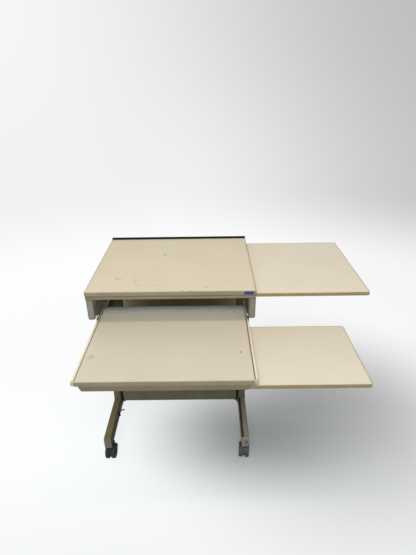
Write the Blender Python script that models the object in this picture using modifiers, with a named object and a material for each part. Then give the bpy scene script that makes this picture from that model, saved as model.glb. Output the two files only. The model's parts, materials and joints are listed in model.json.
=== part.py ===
"""Mobile computer desk: a top with a side leaf, a pull-out tray with a side leaf, and a rolling leg frame.

Metres, +Z up. Sizes below are in desk coordinates: X = 0 on the desk's centre plane, Y = 0 at the front
edge of the top, Z = 0 on the floor. An empty shifts everything so that the part's own origin lies under
the middle of its box. The tray and both leaves are pulled out at rest.
"""

import math

import bmesh
import bpy
from mathutils import Matrix, Vector

# Clearances
FIT = 0.0003            # between pieces that touch or are screwed together
RUN = 0.0004            # between pieces that slide or roll on each other

# Top
TOP_WIDTH = 0.700
TOP_DEPTH = 0.600
TOP_HEIGHT = 0.850      # top surface above the floor
BOARD = 0.018           # thickness of the top and of the tray board
EDGE_BAND = 0.002
TOP_CORNER = 0.004
STOP_STRIP_HEIGHT = 0.008  # of the strip behind the board, above its surface
STOP_STRIP_DEPTH = 0.012
STOP_STRIP_EDGE = 0.002

# Upper leaf, which slides sideways between the top and the frame
LEAF = 0.015            # thickness of both leaves
LEAF_CORNER = 0.010
UPPER_LEAF_GAP = 0.001  # below the top board
UPPER_LEAF_FRONT = 0.012
UPPER_LEAF_INSET = 0.040  # of its rear edge from the top's rear edge
UPPER_LEAF_LENGTH = 0.600
UPPER_LEAF_REACH = 0.467

# Top frame
SHEET = 0.0015          # folded steel sheet
RAIL_FRONT = 0.004      # set back of the front rail
RAIL_FACE = 0.010       # height of its front face, below the groove
RAIL_STEP = 0.003       # depth of the groove behind that face
RAIL_FLANGE = 0.030
BRACKET_WIDTH = 0.028
BRACKET_HEIGHT = 0.099
BRACKET_FRONT = 0.010
BRACKET_REAR = 0.002    # set back of the brackets' rear ends from the top's rear edge
BRACKET_CORNER = 0.008  # lower edges
BRACKET_RIM = 0.002     # upper edges
BATTEN_INSET = 0.0005
REAR_BATTEN = 0.0355
BACK_PANEL_HEIGHT = 0.394
BACK_PANEL_FLANGE = 0.014
BACK_PANEL_INSET = 0.010

# Tray
TRAY_DROP = 0.156       # tray surface below the top surface
TRAY_PULL = 0.362       # front edge of the tray in front of the top at rest
TRAY_WIDTH = 0.626      # of the board
TRAY_BOARD_DEPTH = 0.471
REAR_CHANNEL_DEPTH = 0.0437
SKIRT_SETBACK = 0.0012
SKIRT_INSET = 0.0105    # of the skirt's upper ends from the sides of the board
SKIRT_SLANT = 0.0115    # how much shorter each end is at the bottom
LOWER_LEAF_GAP = 0.0066
LOWER_LEAF_DEPTH = 0.372
LOWER_LEAF_LENGTH = 0.524
LOWER_LEAF_REACH = 0.3995
LEAF_FLANGE = 0.019
RUNNER_FLANGE = 0.024

# Roller slides of the tray
SLIDE_SHEET = 0.0012
LIP_WIDTH = 0.0122
SLIDE_OVERLAP = 0.1033  # of each runner with its track at rest
ROLLER_RADIUS = 0.0085
ROLLER_WIDTH = 0.008
ROLLER_EDGE = 0.00075
ROLLER_PIN = 0.002
TRACK_LENGTH = 0.493
TRACK_GAP = 0.021       # between the track's rear end and the back panel
TRACK_ROLLER = 0.013    # front roller behind the track's front end
RUNNER_ROLLER = 0.015   # rear roller in front of the runner's rear end
TRACK_LIP = 0.010
TRACK_PLAY = 0.0007     # between the track's web and the runner's lip
HANGER_HEIGHT = 0.099
HANGER_SETBACK = 0.004  # of the hangers behind the brackets' front faces
RUNNER_CAP = 0.012

# Legs
TUBE_WALL = 0.002
LEG_WIDTH = 0.033
LEG_SPREAD = 0.632      # between the middles of the feet
COLUMN_FRONT = 0.156
COLUMN_DEPTH = 0.300
COLUMN_CORNER = 0.005
ARM_HEIGHT = 0.0372
ARM_GAP = 0.016         # between the arm's rear end and the back panel
TRAY_CLEARANCE = 0.0078  # between the tray and the plates that it passes over
PLATE = 0.0075
PLATE_DEPTH = 0.390
PLATE_INSET = 0.005     # of the plate from the arm's rear end
RISER_INSET = 0.005     # of the riser tube from the rear edge of its plate
RISER_WIDTH = 0.0195
RISER_DEPTH = 0.160
FOOT_HEIGHT = 0.059
FOOT_BOTTOM = 0.089
FOOT_FRONT = -0.100
FOOT_REAR = 0.560
FOOT_CORNER = 0.004
CAP_PROUD = 0.002
CAP_PLUG = 0.012
PANEL_HEIGHT = 0.464    # modesty panel, from the arch up
PANEL_ARCH = 0.126      # underside of the panel above the floor
PANEL_ARCH_RADIUS = 0.029
PANEL_SETBACK = 0.014
PANEL_FLANGE = 0.020
HOOK_SETBACK = 0.190    # cable hook behind the foot's front end
HOOK_HEIGHT = 0.118     # where its bend starts
HOOK_SHANK = 0.020      # straight part, against the foot
HOOK_REACH = 0.030
HOOK_RISE = 0.022
HOOK_WIRE = 0.0022

# Casters
WHEEL_RADIUS = 0.032
WHEEL_WIDTH = 0.019
WHEEL_EDGE = 0.005
AXLE_RADIUS = 0.004
CASTER_WEB = 0.009
WEB_RADIUS = 0.026      # of the web between the wheels, outside the hood
CASTER_TRAIL = 0.022
HOOD_GAP = 0.0015
HOOD_WALL = 0.0025
HOOD_CUT = 0.008        # lower edge of the hood below the axle
HOOD_OPEN = 0.010       # edge of the hood past the axle, on the side away from the stem
NECK_RADIUS = 0.013
STEM_RADIUS = 0.0055
STEM_LENGTH = 0.022
CASTER_INSET = 0.054    # of the swivel axis from the ends of the foot
CASTER_TURNS = {"front_left": 180.0, "front_right": 174.0, "rear_left": -12.0, "rear_right": 160.0}
ROUND_SIDES = 28

# Heights and places worked out from the above
SIDES = {"left": -1, "right": 1}
TOP_SIDE = TOP_WIDTH / 2
TOP_UNDER = TOP_HEIGHT - BOARD
UPPER_LEAF_TOP = TOP_UNDER - UPPER_LEAF_GAP
RAIL_SHELF = UPPER_LEAF_TOP - LEAF - RUN
RAIL_BOTTOM = RAIL_SHELF - SHEET
UPPER_LEAF_REAR = TOP_DEPTH - UPPER_LEAF_INSET
BRACKET_TOP = RAIL_BOTTOM - FIT
BRACKET_BOTTOM = BRACKET_TOP - BRACKET_HEIGHT
BRACKET_INNER = TOP_SIDE - BRACKET_WIDTH
REAR_RAIL_WEB = UPPER_LEAF_REAR + UPPER_LEAF_GAP
BACK_PANEL_FRONT = TOP_DEPTH - BACK_PANEL_INSET - BACK_PANEL_FLANGE

TRAY_TOP = TOP_HEIGHT - TRAY_DROP
TRAY_UNDER = TRAY_TOP - BOARD
TRAY_SIDE = TRAY_WIDTH / 2
TRAY_FRONT = -TRAY_PULL + EDGE_BAND + FIT
TRAY_BOARD_REAR = TRAY_FRONT + TRAY_BOARD_DEPTH
TRAY_REAR = TRAY_BOARD_REAR + FIT + REAR_CHANNEL_DEPTH
LOWER_LEAF_TOP = TRAY_UNDER - LOWER_LEAF_GAP
LOWER_SHELF = LOWER_LEAF_TOP - LEAF - RUN
SKIRT_BOTTOM = LOWER_SHELF - SLIDE_SHEET
SKIRT_FRONT = -TRAY_PULL + SKIRT_SETBACK
LOWER_LEAF_FRONT = SKIRT_FRONT + SLIDE_SHEET + 2 * RUN
LOWER_LEAF_REAR = LOWER_LEAF_FRONT + LOWER_LEAF_DEPTH

RUNNER_INNER = TRAY_SIDE + FIT
RUNNER_OUTER = RUNNER_INNER + LIP_WIDTH
TRACK_WEB = RUNNER_OUTER + TRACK_PLAY
TRACK_OUTER = TRACK_WEB + SLIDE_SHEET
HANGER_BOTTOM = LOWER_LEAF_TOP + 2 * RUN + FIT
TRACK_BOTTOM = HANGER_BOTTOM + 2 * RUN
ROLLER_HEIGHT = TRACK_BOTTOM + SLIDE_SHEET + RUN + ROLLER_RADIUS
LIP_BOTTOM = ROLLER_HEIGHT + ROLLER_RADIUS + RUN
LIP_TOP = LIP_BOTTOM + SLIDE_SHEET
TRACK_TOP = LIP_TOP + 2 * RUN + SLIDE_SHEET
HANGER_OUTER = BRACKET_INNER - FIT
HANGER_SHELF = TRACK_TOP + FIT
HANGER_SKIRT = TRACK_OUTER + FIT
HANGER_TOP = HANGER_BOTTOM + HANGER_HEIGHT
ROLLER_INNER = RUNNER_INNER + SLIDE_SHEET + 2 * RUN
TRACK_REAR = BACK_PANEL_FRONT - TRACK_GAP
TRACK_FRONT = TRACK_REAR - TRACK_LENGTH
RUNNER_REAR = TRACK_FRONT + SLIDE_OVERLAP

FOOT_TOP = FOOT_BOTTOM + FOOT_HEIGHT
LEG_INNER = LEG_SPREAD / 2 - LEG_WIDTH / 2
LEG_OUTER = LEG_INNER + LEG_WIDTH
RISER_TOP = BRACKET_BOTTOM - FIT
PLATE_TOP = SKIRT_BOTTOM - TRAY_CLEARANCE
PLATE_BOTTOM = PLATE_TOP - PLATE
ARM_TOP = PLATE_BOTTOM - FIT
ARM_BOTTOM = ARM_TOP - ARM_HEIGHT
ARM_REAR = BACK_PANEL_FRONT - ARM_GAP
PLATE_REAR = ARM_REAR - PLATE_INSET
PLATE_FRONT = PLATE_REAR - PLATE_DEPTH
COLUMN_TOP = ARM_BOTTOM - FIT
COLUMN_BOTTOM = FOOT_TOP + FIT

UPPER_LEAF_END = TOP_SIDE + UPPER_LEAF_REACH
LOWER_LEAF_END = RUNNER_OUTER + LOWER_LEAF_REACH
ORIGIN = Vector(((UPPER_LEAF_END - TOP_SIDE) / 2, (TOP_DEPTH - TRAY_PULL) / 2, 0.0))


def clear_scene():
    for obj in list(bpy.data.objects):
        bpy.data.objects.remove(obj, do_unlink=True)


def make_collection(name):
    collection = bpy.data.collections.new(name)
    bpy.context.scene.collection.children.link(collection)
    return collection


def make_material(name, colour, roughness, metallic=0.0):
    material = bpy.data.materials.new(name)
    material.use_nodes = True
    shader = material.node_tree.nodes["Principled BSDF"]
    shader.inputs["Base Color"].default_value = (*colour, 1.0)
    shader.inputs["Roughness"].default_value = roughness
    shader.inputs["Metallic"].default_value = metallic
    return material


clear_scene()
PARTS = make_collection("mobile_computer_desk")
CUTTERS = make_collection("cutters")
LAMINATE = make_material("cream_laminate", (0.69, 0.61, 0.44), 0.45)
BAND = make_material("cream_edge_band", (0.45, 0.38, 0.25), 0.5)
PAINT = make_material("taupe_paint", (0.16, 0.14, 0.10), 0.5)
BATTEN = make_material("painted_batten", (0.16, 0.14, 0.10), 0.6)
GREY_PAINT = make_material("warm_grey_paint", (0.27, 0.25, 0.20), 0.5)
CREAM_PAINT = make_material("cream_paint", (0.79, 0.70, 0.55), 0.4)
ZINC = make_material("zinc_plate", (0.45, 0.46, 0.45), 0.4, 0.8)
BLACK = make_material("black_plastic", (0.012, 0.012, 0.013), 0.5)
GREY = make_material("grey_plastic", (0.20, 0.19, 0.18), 0.5)
WHITE = make_material("white_nylon", (0.75, 0.74, 0.70), 0.4)


def add_empty(name, place, parent=None, turn=0.0):
    """An empty at a place in desk coordinates, under another empty, turned about Z."""
    empty = bpy.data.objects.new(name, None)
    PARTS.objects.link(empty)
    empty.parent = parent
    empty.location = Vector(place) - (Vector(parent["place"]) if parent else Vector())
    empty.rotation_euler.z = turn
    empty["place"] = tuple(place)
    return empty


def put(obj, parent, material):
    """Puts a shape made in desk coordinates under an empty."""
    PARTS.objects.link(obj)
    obj.parent = parent
    obj.location = obj.location - Vector(parent["place"])
    obj.data.materials.append(material)
    return obj


def new_object(name, shape):
    """A mesh object from a bmesh."""
    mesh = bpy.data.meshes.new(name)
    shape.to_mesh(mesh)
    shape.free()
    return bpy.data.objects.new(name, mesh)


def box(name, low, high):
    """A block between two corners, with its origin in its middle."""
    low, high = Vector(low), Vector(high)
    shape = bmesh.new()
    bmesh.ops.create_cube(shape, size=1.0, matrix=Matrix.Diagonal((*(high - low), 1.0)))
    obj = new_object(name, shape)
    obj.location = (low + high) / 2
    return obj


def rod(name, radius, start, end, sides=ROUND_SIDES):
    """A round bar between two points."""
    start, end = Vector(start), Vector(end)
    shape = bmesh.new()
    bmesh.ops.create_cone(
        shape, cap_ends=True, segments=sides, radius1=radius, radius2=radius, depth=(end - start).length
    )
    obj = new_object(name, shape)
    obj.location = (start + end) / 2
    obj.rotation_mode = "QUATERNION"
    obj.rotation_quaternion = (end - start).to_track_quat("Z", "Y")
    return obj


def outline(corners, steps=5):
    """A closed outline from corners (u, v, radius), each rounded by an arc of that radius."""
    points = []
    for index, (u, v, radius) in enumerate(corners):
        here = Vector((u, v))
        if radius <= 0:
            points.append(here)
            continue
        back = (Vector(corners[index - 1][:2]) - here).normalized()
        ahead = (Vector(corners[(index + 1) % len(corners)][:2]) - here).normalized()
        half = back.angle(ahead) / 2
        middle = here + (back + ahead).normalized() * radius / math.sin(half)
        first = here + back * radius / math.tan(half) - middle
        last = here + ahead * radius / math.tan(half) - middle
        sweep = first.angle_signed(last)
        for step in range(steps + 1):
            angle = -sweep * step / steps
            turn = Matrix.Rotation(angle, 2)
            points.append(middle + turn @ first)
    return points


def rectangle(low, high, radius=0.0):
    """The outline of a rectangle with equal rounded corners."""
    (u0, v0), (u1, v1) = low, high
    return outline([(u0, v0, radius), (u1, v0, radius), (u1, v1, radius), (u0, v1, radius)])


# How an outline's (u, v) lie in the desk: along Z they are x, y; along Y they are x, z; along X they are y, z
TURNS = {
    "Z": Matrix.Identity(3),
    "Y": Matrix(((1, 0, 0), (0, 0, -1), (0, 1, 0))),
    "X": Matrix(((0, 0, 1), (1, 0, 0), (0, 1, 0))),
}


def extrusion(name, outlines, along, start, end):
    """A solid with these outlines (an outer one, then holes), drawn out along an axis from start to end."""
    curve = bpy.data.curves.new(name, "CURVE")
    curve.dimensions = "2D"
    curve.fill_mode = "BOTH"
    curve.extrude = abs(end - start) / 2
    for points in outlines:
        spline = curve.splines.new("POLY")
        spline.points.add(len(points) - 1)
        spline.use_cyclic_u = True
        for target, point in zip(spline.points, points):
            target.co = (point[0], point[1], 0.0, 1.0)
    turn = TURNS[along]
    middle = turn @ Vector((0.0, 0.0, 1.0))
    middle = Vector((abs(middle.x), abs(middle.y), abs(middle.z))) * (start + end) / 2
    return meshed(bpy.data.objects.new(name, curve), Matrix.Translation(middle) @ turn.to_4x4())


def meshed(drawn, place):
    """The mesh object of a curve object, with its caps welded."""
    name = drawn.name
    CUTTERS.objects.link(drawn)
    drawn.matrix_world = place
    bpy.context.view_layer.update()
    graph = bpy.context.evaluated_depsgraph_get()
    mesh = bpy.data.meshes.new_from_object(drawn.evaluated_get(graph))
    mesh.materials.clear()
    shape = bmesh.new()
    shape.from_mesh(mesh)
    bmesh.ops.remove_doubles(shape, verts=shape.verts, dist=1e-6)
    bmesh.ops.recalc_face_normals(shape, faces=shape.faces)
    shape.to_mesh(mesh)
    shape.free()
    bpy.data.objects.remove(drawn, do_unlink=True)
    made = bpy.data.objects.new(name, mesh)
    made.matrix_world = place
    return made


def combine(obj, other, operation):
    """A Boolean of one object with a helper, which stays out of the model."""
    CUTTERS.objects.link(other)
    other.hide_render = True
    other.display_type = "WIRE"
    modifier = obj.modifiers.new(other.name, "BOOLEAN")
    modifier.operation = operation
    modifier.object = other
    return obj


def cut(obj, other):
    return combine(obj, other, "DIFFERENCE")


def join(obj, other):
    return combine(obj, other, "UNION")


def turned(name, profile):
    """A ring turned about local Z from a closed profile of (radius, height), down its outer side first."""
    shape = bmesh.new()
    points = [shape.verts.new((radius, 0.0, height)) for radius, height in profile]
    for index, point in enumerate(points):
        shape.edges.new((point, points[(index + 1) % len(points)]))
    obj = new_object(name, shape)
    screw = obj.modifiers.new("turn", "SCREW")
    screw.axis = "Z"
    screw.steps = screw.render_steps = ROUND_SIDES
    screw.use_merge_vertices = True
    screw.merge_threshold = 1e-6
    return obj


def smooth(obj, angle=40.0):
    obj.data.shade_smooth()
    obj.data.set_sharp_from_angle(angle=math.radians(angle))
    return obj


def mirrored(side, inner, outer):
    """Lowest and highest X of a piece between two distances from the centre plane, on one side."""
    return sorted((side * inner, side * outer))


def tube(name, low, high, radius, wall, along, start, end):
    """A rectangular tube with rounded corners, open at both ends."""
    inside_low = (low[0] + wall, low[1] + wall)
    inside_high = (high[0] - wall, high[1] - wall)
    inner = rectangle(inside_low, inside_high, max(radius - wall, wall / 4))
    return extrusion(name, [rectangle(low, high, radius), inner], along, start, end)


def banded_board(name, parent, low, high, bottom, top, radii):
    """A laminated board and the band around its edge; radii are for its corners, anticlockwise from low."""

    def inset(depth):
        x0, y0 = low[0] + depth, low[1] + depth
        x1, y1 = high[0] - depth, high[1] - depth
        corners = ((x0, y0), (x1, y0), (x1, y1), (x0, y1))
        return outline([(x, y, max(radius - depth, 0.0)) for (x, y), radius in zip(corners, radii)])

    put(extrusion(name + "_board", [inset(EDGE_BAND + FIT)], "Z", bottom, top), parent, LAMINATE)
    put(extrusion(name + "_edge_band", [inset(0.0), inset(EDGE_BAND)], "Z", bottom, top), parent, BAND)


def build_top(desk):
    corners = [TOP_CORNER] * 4
    low = (TOP_DEPTH - STOP_STRIP_DEPTH, TOP_UNDER)
    high = (TOP_DEPTH, TOP_HEIGHT + STOP_STRIP_HEIGHT)
    banded_board("top", desk, (-TOP_SIDE, 0.0), (TOP_SIDE, low[0] - FIT), TOP_UNDER, TOP_HEIGHT, corners)
    edge = STOP_STRIP_EDGE
    profile = outline([(*low, 0.0), (high[0], low[1], 0.0), (*high, edge), (low[0], high[1], edge)], 3)
    put(extrusion("rear_stop_strip", [profile], "X", -TOP_SIDE, TOP_SIDE), desk, BLACK)


def build_top_frame(desk):
    end = TOP_SIDE - BATTEN_INSET
    back = RAIL_FRONT + SHEET
    face_top = RAIL_BOTTOM + RAIL_FACE
    rail = extrusion(
        "front_rail",
        [outline([
            (RAIL_FRONT, RAIL_BOTTOM, 0.0),
            (back + RAIL_FLANGE, RAIL_BOTTOM, 0.0),
            (back + RAIL_FLANGE, RAIL_SHELF, 0.0),
            (back, RAIL_SHELF, 0.0),
            (back, face_top - SHEET, 0.0),
            (back + RAIL_STEP, face_top - SHEET, 0.0),
            (back + RAIL_STEP, TOP_UNDER - FIT, 0.0),
            (RAIL_FRONT + RAIL_STEP, TOP_UNDER - FIT, 0.0),
            (RAIL_FRONT + RAIL_STEP, face_top, 0.0),
            (RAIL_FRONT, face_top, 0.0),
        ])],
        "X", -end, end,
    )
    put(rail, desk, GREY_PAINT)

    web = REAR_RAIL_WEB
    rear = extrusion(
        "rear_rail",
        [outline([
            (UPPER_LEAF_REAR - RAIL_FLANGE, RAIL_BOTTOM, 0.0),
            (web + SHEET, RAIL_BOTTOM, 0.0),
            (web + SHEET, TOP_UNDER - FIT, 0.0),
            (web, TOP_UNDER - FIT, 0.0),
            (web, RAIL_SHELF, 0.0),
            (UPPER_LEAF_REAR - RAIL_FLANGE, RAIL_SHELF, 0.0),
        ])],
        "X", -end, end,
    )
    put(rear, desk, GREY_PAINT)

    batten_low = (-end, back + RAIL_FLANGE + FIT, RAIL_BOTTOM)
    batten_high = (-BRACKET_INNER, UPPER_LEAF_REAR - RAIL_FLANGE - FIT, TOP_UNDER - FIT)
    put(box("left_batten", batten_low, batten_high), desk, BATTEN)
    batten_low = (-end, web + SHEET + FIT, RAIL_BOTTOM)
    batten_high = (end, web + SHEET + FIT + REAR_BATTEN, TOP_UNDER - FIT)
    put(box("rear_batten", batten_low, batten_high), desk, BATTEN)

    for name, side in SIDES.items():
        x0, x1 = mirrored(side, BRACKET_INNER, TOP_SIDE)
        shell = extrusion(
            f"{name}_side_bracket",
            [outline([
                (x0, BRACKET_BOTTOM, BRACKET_CORNER),
                (x1, BRACKET_BOTTOM, BRACKET_CORNER),
                (x1, BRACKET_TOP, BRACKET_RIM),
                (x0, BRACKET_TOP, BRACKET_RIM),
            ])],
            "Y", BRACKET_FRONT, TOP_DEPTH - BRACKET_REAR,
        )
        low = (x0 + SHEET, BRACKET_BOTTOM + SHEET)
        high = (x1 - SHEET, BRACKET_TOP - SHEET)
        inside = rectangle(low, high, SHEET)
        cut(shell, extrusion(f"{name}_bracket_inside", [inside], "Y", BRACKET_FRONT + SHEET, TOP_DEPTH))
        put(shell, desk, GREY_PAINT)

    front = BACK_PANEL_FRONT
    narrow, wide = BRACKET_INNER - FIT, TOP_SIDE - BATTEN_INSET
    bottom, shoulder = BRACKET_TOP - BACK_PANEL_HEIGHT, BRACKET_BOTTOM - FIT

    def shouldered(inset):
        """The panel's outline, narrow between the brackets and wide below them, drawn in by an inset."""
        return outline([
            (-wide + inset, bottom + inset, 0.0),
            (wide - inset, bottom + inset, 0.0),
            (wide - inset, shoulder - inset, 0.0),
            (narrow - inset, shoulder - inset, 0.0),
            (narrow - inset, BRACKET_TOP - inset, 0.0),
            (-narrow + inset, BRACKET_TOP - inset, 0.0),
            (-narrow + inset, shoulder - inset, 0.0),
            (-wide + inset, shoulder - inset, 0.0),
        ])

    panel = extrusion("back_panel", [shouldered(0.0)], "Y", front, front + BACK_PANEL_FLANGE)
    rear = front + 2 * BACK_PANEL_FLANGE
    put(cut(panel, extrusion("back_panel_inside", [shouldered(SHEET)], "Y", front + SHEET, rear)), desk, PAINT)


def build_upper_leaf(leaf):
    low = (UPPER_LEAF_END - UPPER_LEAF_LENGTH, UPPER_LEAF_FRONT)
    high = (UPPER_LEAF_END, UPPER_LEAF_REAR)
    corners = (TOP_CORNER, LEAF_CORNER, LEAF_CORNER, TOP_CORNER)
    banded_board("upper_leaf", leaf, low, high, UPPER_LEAF_TOP - LEAF, UPPER_LEAF_TOP, corners)


def build_lower_leaf(leaf):
    low = (LOWER_LEAF_END - LOWER_LEAF_LENGTH, LOWER_LEAF_FRONT)
    high = (LOWER_LEAF_END, LOWER_LEAF_REAR)
    corners = (TOP_CORNER, LEAF_CORNER, LEAF_CORNER, TOP_CORNER)
    banded_board("lower_leaf", leaf, low, high, LOWER_LEAF_TOP - LEAF, LOWER_LEAF_TOP, corners)


def build_tray(tray):
    low, high = (-TRAY_SIDE, TRAY_FRONT, TRAY_UNDER), (TRAY_SIDE, TRAY_BOARD_REAR, TRAY_TOP)
    put(box("tray_board", low, high), tray, LAMINATE)
    band_low = (-TRAY_SIDE, -TRAY_PULL, TRAY_UNDER)
    put(box("tray_front_band", band_low, (TRAY_SIDE, TRAY_FRONT - FIT, TRAY_TOP)), tray, BAND)

    upper = TRAY_SIDE - SKIRT_INSET
    lower = upper - SKIRT_SLANT
    skirt = extrusion(
        "tray_front_skirt",
        [outline([
            (-lower, SKIRT_BOTTOM, 0.0),
            (lower, SKIRT_BOTTOM, 0.0),
            (upper, TRAY_UNDER - FIT, 0.0),
            (-upper, TRAY_UNDER - FIT, 0.0),
        ])],
        "Y", SKIRT_FRONT, SKIRT_FRONT + SLIDE_SHEET,
    )
    shelf_low = (-lower + FIT, SKIRT_FRONT + SLIDE_SHEET / 2, SKIRT_BOTTOM)
    join(skirt, box("skirt_shelf", shelf_low, (lower - FIT, SKIRT_FRONT + LEAF_FLANGE, LOWER_SHELF)))
    fold_high = (upper - FIT, SKIRT_FRONT + RUNNER_FLANGE, TRAY_UNDER - FIT)
    fold_low = (-upper + FIT, SKIRT_FRONT + SLIDE_SHEET / 2, TRAY_UNDER - FIT - SLIDE_SHEET)
    join(skirt, box("skirt_fold", fold_low, fold_high))
    put(skirt, tray, GREY_PAINT)

    web = LOWER_LEAF_REAR + 2 * RUN
    runner = extrusion(
        "leaf_rear_runner",
        [outline([
            (web + SLIDE_SHEET - LEAF_FLANGE, SKIRT_BOTTOM, 0.0),
            (web + SLIDE_SHEET, SKIRT_BOTTOM, 0.0),
            (web + SLIDE_SHEET, TRAY_UNDER - FIT - SLIDE_SHEET, 0.0),
            (web + RUNNER_FLANGE, TRAY_UNDER - FIT - SLIDE_SHEET, 0.0),
            (web + RUNNER_FLANGE, TRAY_UNDER - FIT, 0.0),
            (web, TRAY_UNDER - FIT, 0.0),
            (web, LOWER_SHELF, 0.0),
            (web + SLIDE_SHEET - LEAF_FLANGE, LOWER_SHELF, 0.0),
        ])],
        "X", -upper, upper,
    )
    put(runner, tray, ZINC)

    front = TRAY_BOARD_REAR + FIT
    channel = extrusion(
        "tray_rear_channel",
        [outline([
            (front, TRAY_UNDER, 0.0),
            (front + SLIDE_SHEET, TRAY_UNDER, 0.0),
            (front + SLIDE_SHEET, TRAY_TOP - FIT - SLIDE_SHEET, 0.0),
            (TRAY_REAR - SLIDE_SHEET, TRAY_TOP - FIT - SLIDE_SHEET, 0.0),
            (TRAY_REAR - SLIDE_SHEET, TRAY_UNDER, 0.0),
            (TRAY_REAR, TRAY_UNDER, 0.0),
            (TRAY_REAR, TRAY_TOP - FIT, 0.0),
            (front, TRAY_TOP - FIT, 0.0),
        ])],
        "X", -TRAY_SIDE, TRAY_SIDE,
    )
    put(channel, tray, ZINC)


def build_slides(desk, tray):
    """A fixed track with a front roller and a runner with a rear roller, on each side of the tray."""
    roller_y = RUNNER_REAR - RUNNER_ROLLER
    track_roller_y = TRACK_FRONT + TRACK_ROLLER
    for name, side in SIDES.items():

        def across(inner, outer, height, lift=0.0):
            """Corners of a flat strip of the slide's section, from inner to outer."""
            x0, x1 = mirrored(side, inner, outer)
            return rectangle((x0, height), (x1, height + lift))

        hanger_bottom = HANGER_BOTTOM if side > 0 else PLATE_TOP + FIT
        section = outline([
            (side * (HANGER_OUTER - SHEET), HANGER_TOP, 0.0),
            (side * (HANGER_OUTER - SHEET), HANGER_SHELF, 0.0),
            (side * HANGER_SKIRT, HANGER_SHELF, 0.0),
            (side * HANGER_SKIRT, hanger_bottom, 0.0),
            (side * (HANGER_SKIRT + SHEET), hanger_bottom, 0.0),
            (side * (HANGER_SKIRT + SHEET), HANGER_SHELF + SHEET, 0.0),
            (side * HANGER_OUTER, HANGER_SHELF + SHEET, 0.0),
            (side * HANGER_OUTER, HANGER_TOP, 0.0),
        ])
        hanger_front = BRACKET_FRONT + HANGER_SETBACK
        hanger = extrusion(f"{name}_slide_hanger", [section], "Y", hanger_front, TRACK_REAR)
        put(hanger, desk, PAINT)

        web = across(TRACK_WEB, TRACK_OUTER, TRACK_BOTTOM, TRACK_TOP - TRACK_BOTTOM)
        track = extrusion(f"{name}_slide_track", [web], "Y", TRACK_FRONT, TRACK_REAR)
        inner = TRACK_WEB - TRACK_LIP
        for label, height in (("floor", TRACK_BOTTOM), ("roof", TRACK_TOP - SLIDE_SHEET)):
            strip = across(inner, TRACK_WEB + SLIDE_SHEET / 2, height, SLIDE_SHEET)
            join(track, extrusion(f"{name}_track_{label}", [strip], "Y", TRACK_FRONT + FIT, TRACK_REAR - FIT))
        pin_tip = (side * (ROLLER_INNER + RUN), track_roller_y, ROLLER_HEIGHT)
        pin_root = (side * (TRACK_WEB + SLIDE_SHEET / 2), track_roller_y, ROLLER_HEIGHT)
        join(track, rod(f"{name}_track_pin", ROLLER_PIN, pin_tip, pin_root, 12))
        put(track, desk, CREAM_PAINT)

        runner_bottom = TRACK_BOTTOM + SLIDE_SHEET
        web = across(RUNNER_INNER, RUNNER_INNER + SLIDE_SHEET, runner_bottom, LIP_TOP - runner_bottom)
        runner_front = -TRAY_PULL + RUNNER_CAP
        runner = extrusion(f"{name}_tray_runner", [web], "Y", runner_front, RUNNER_REAR)
        lip = across(RUNNER_INNER + SLIDE_SHEET / 2, RUNNER_OUTER, LIP_BOTTOM, SLIDE_SHEET)
        join(runner, extrusion(f"{name}_runner_lip", [lip], "Y", runner_front + FIT, RUNNER_REAR - FIT))
        pin_root = (side * (RUNNER_INNER + SLIDE_SHEET / 2), roller_y, ROLLER_HEIGHT)
        pin_tip = (side * (ROLLER_INNER + ROLLER_WIDTH - RUN), roller_y, ROLLER_HEIGHT)
        join(runner, rod(f"{name}_runner_pin", ROLLER_PIN, pin_root, pin_tip, 12))
        put(runner, tray, CREAM_PAINT)

        x0, x1 = mirrored(side, RUNNER_INNER, RUNNER_OUTER)
        cap_low = (x0, -TRAY_PULL, runner_bottom)
        put(box(f"{name}_runner_cap", cap_low, (x1, runner_front - FIT, LIP_TOP)), tray, WHITE)

        build_roller(f"{name}_track_roller", desk, side, track_roller_y)
        build_roller(f"{name}_runner_roller", tray, side, roller_y)


def build_roller(name, parent, side, y):
    """A nylon roller on its pin, with its origin on the pin's axis."""
    middle = (side * (ROLLER_INNER + ROLLER_WIDTH / 2), y, ROLLER_HEIGHT)
    axis = add_empty(name + "_axis", middle, parent)
    half, bore = ROLLER_WIDTH / 2, ROLLER_PIN + RUN
    roller = turned(name, outline([
        (ROLLER_RADIUS, half, ROLLER_EDGE),
        (ROLLER_RADIUS, -half, ROLLER_EDGE),
        (bore, -half, 0.0),
        (bore, half, 0.0),
    ], 1))
    roller.location = middle
    roller.rotation_euler.y = math.pi / 2
    put(smooth(roller), axis, WHITE)


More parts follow.
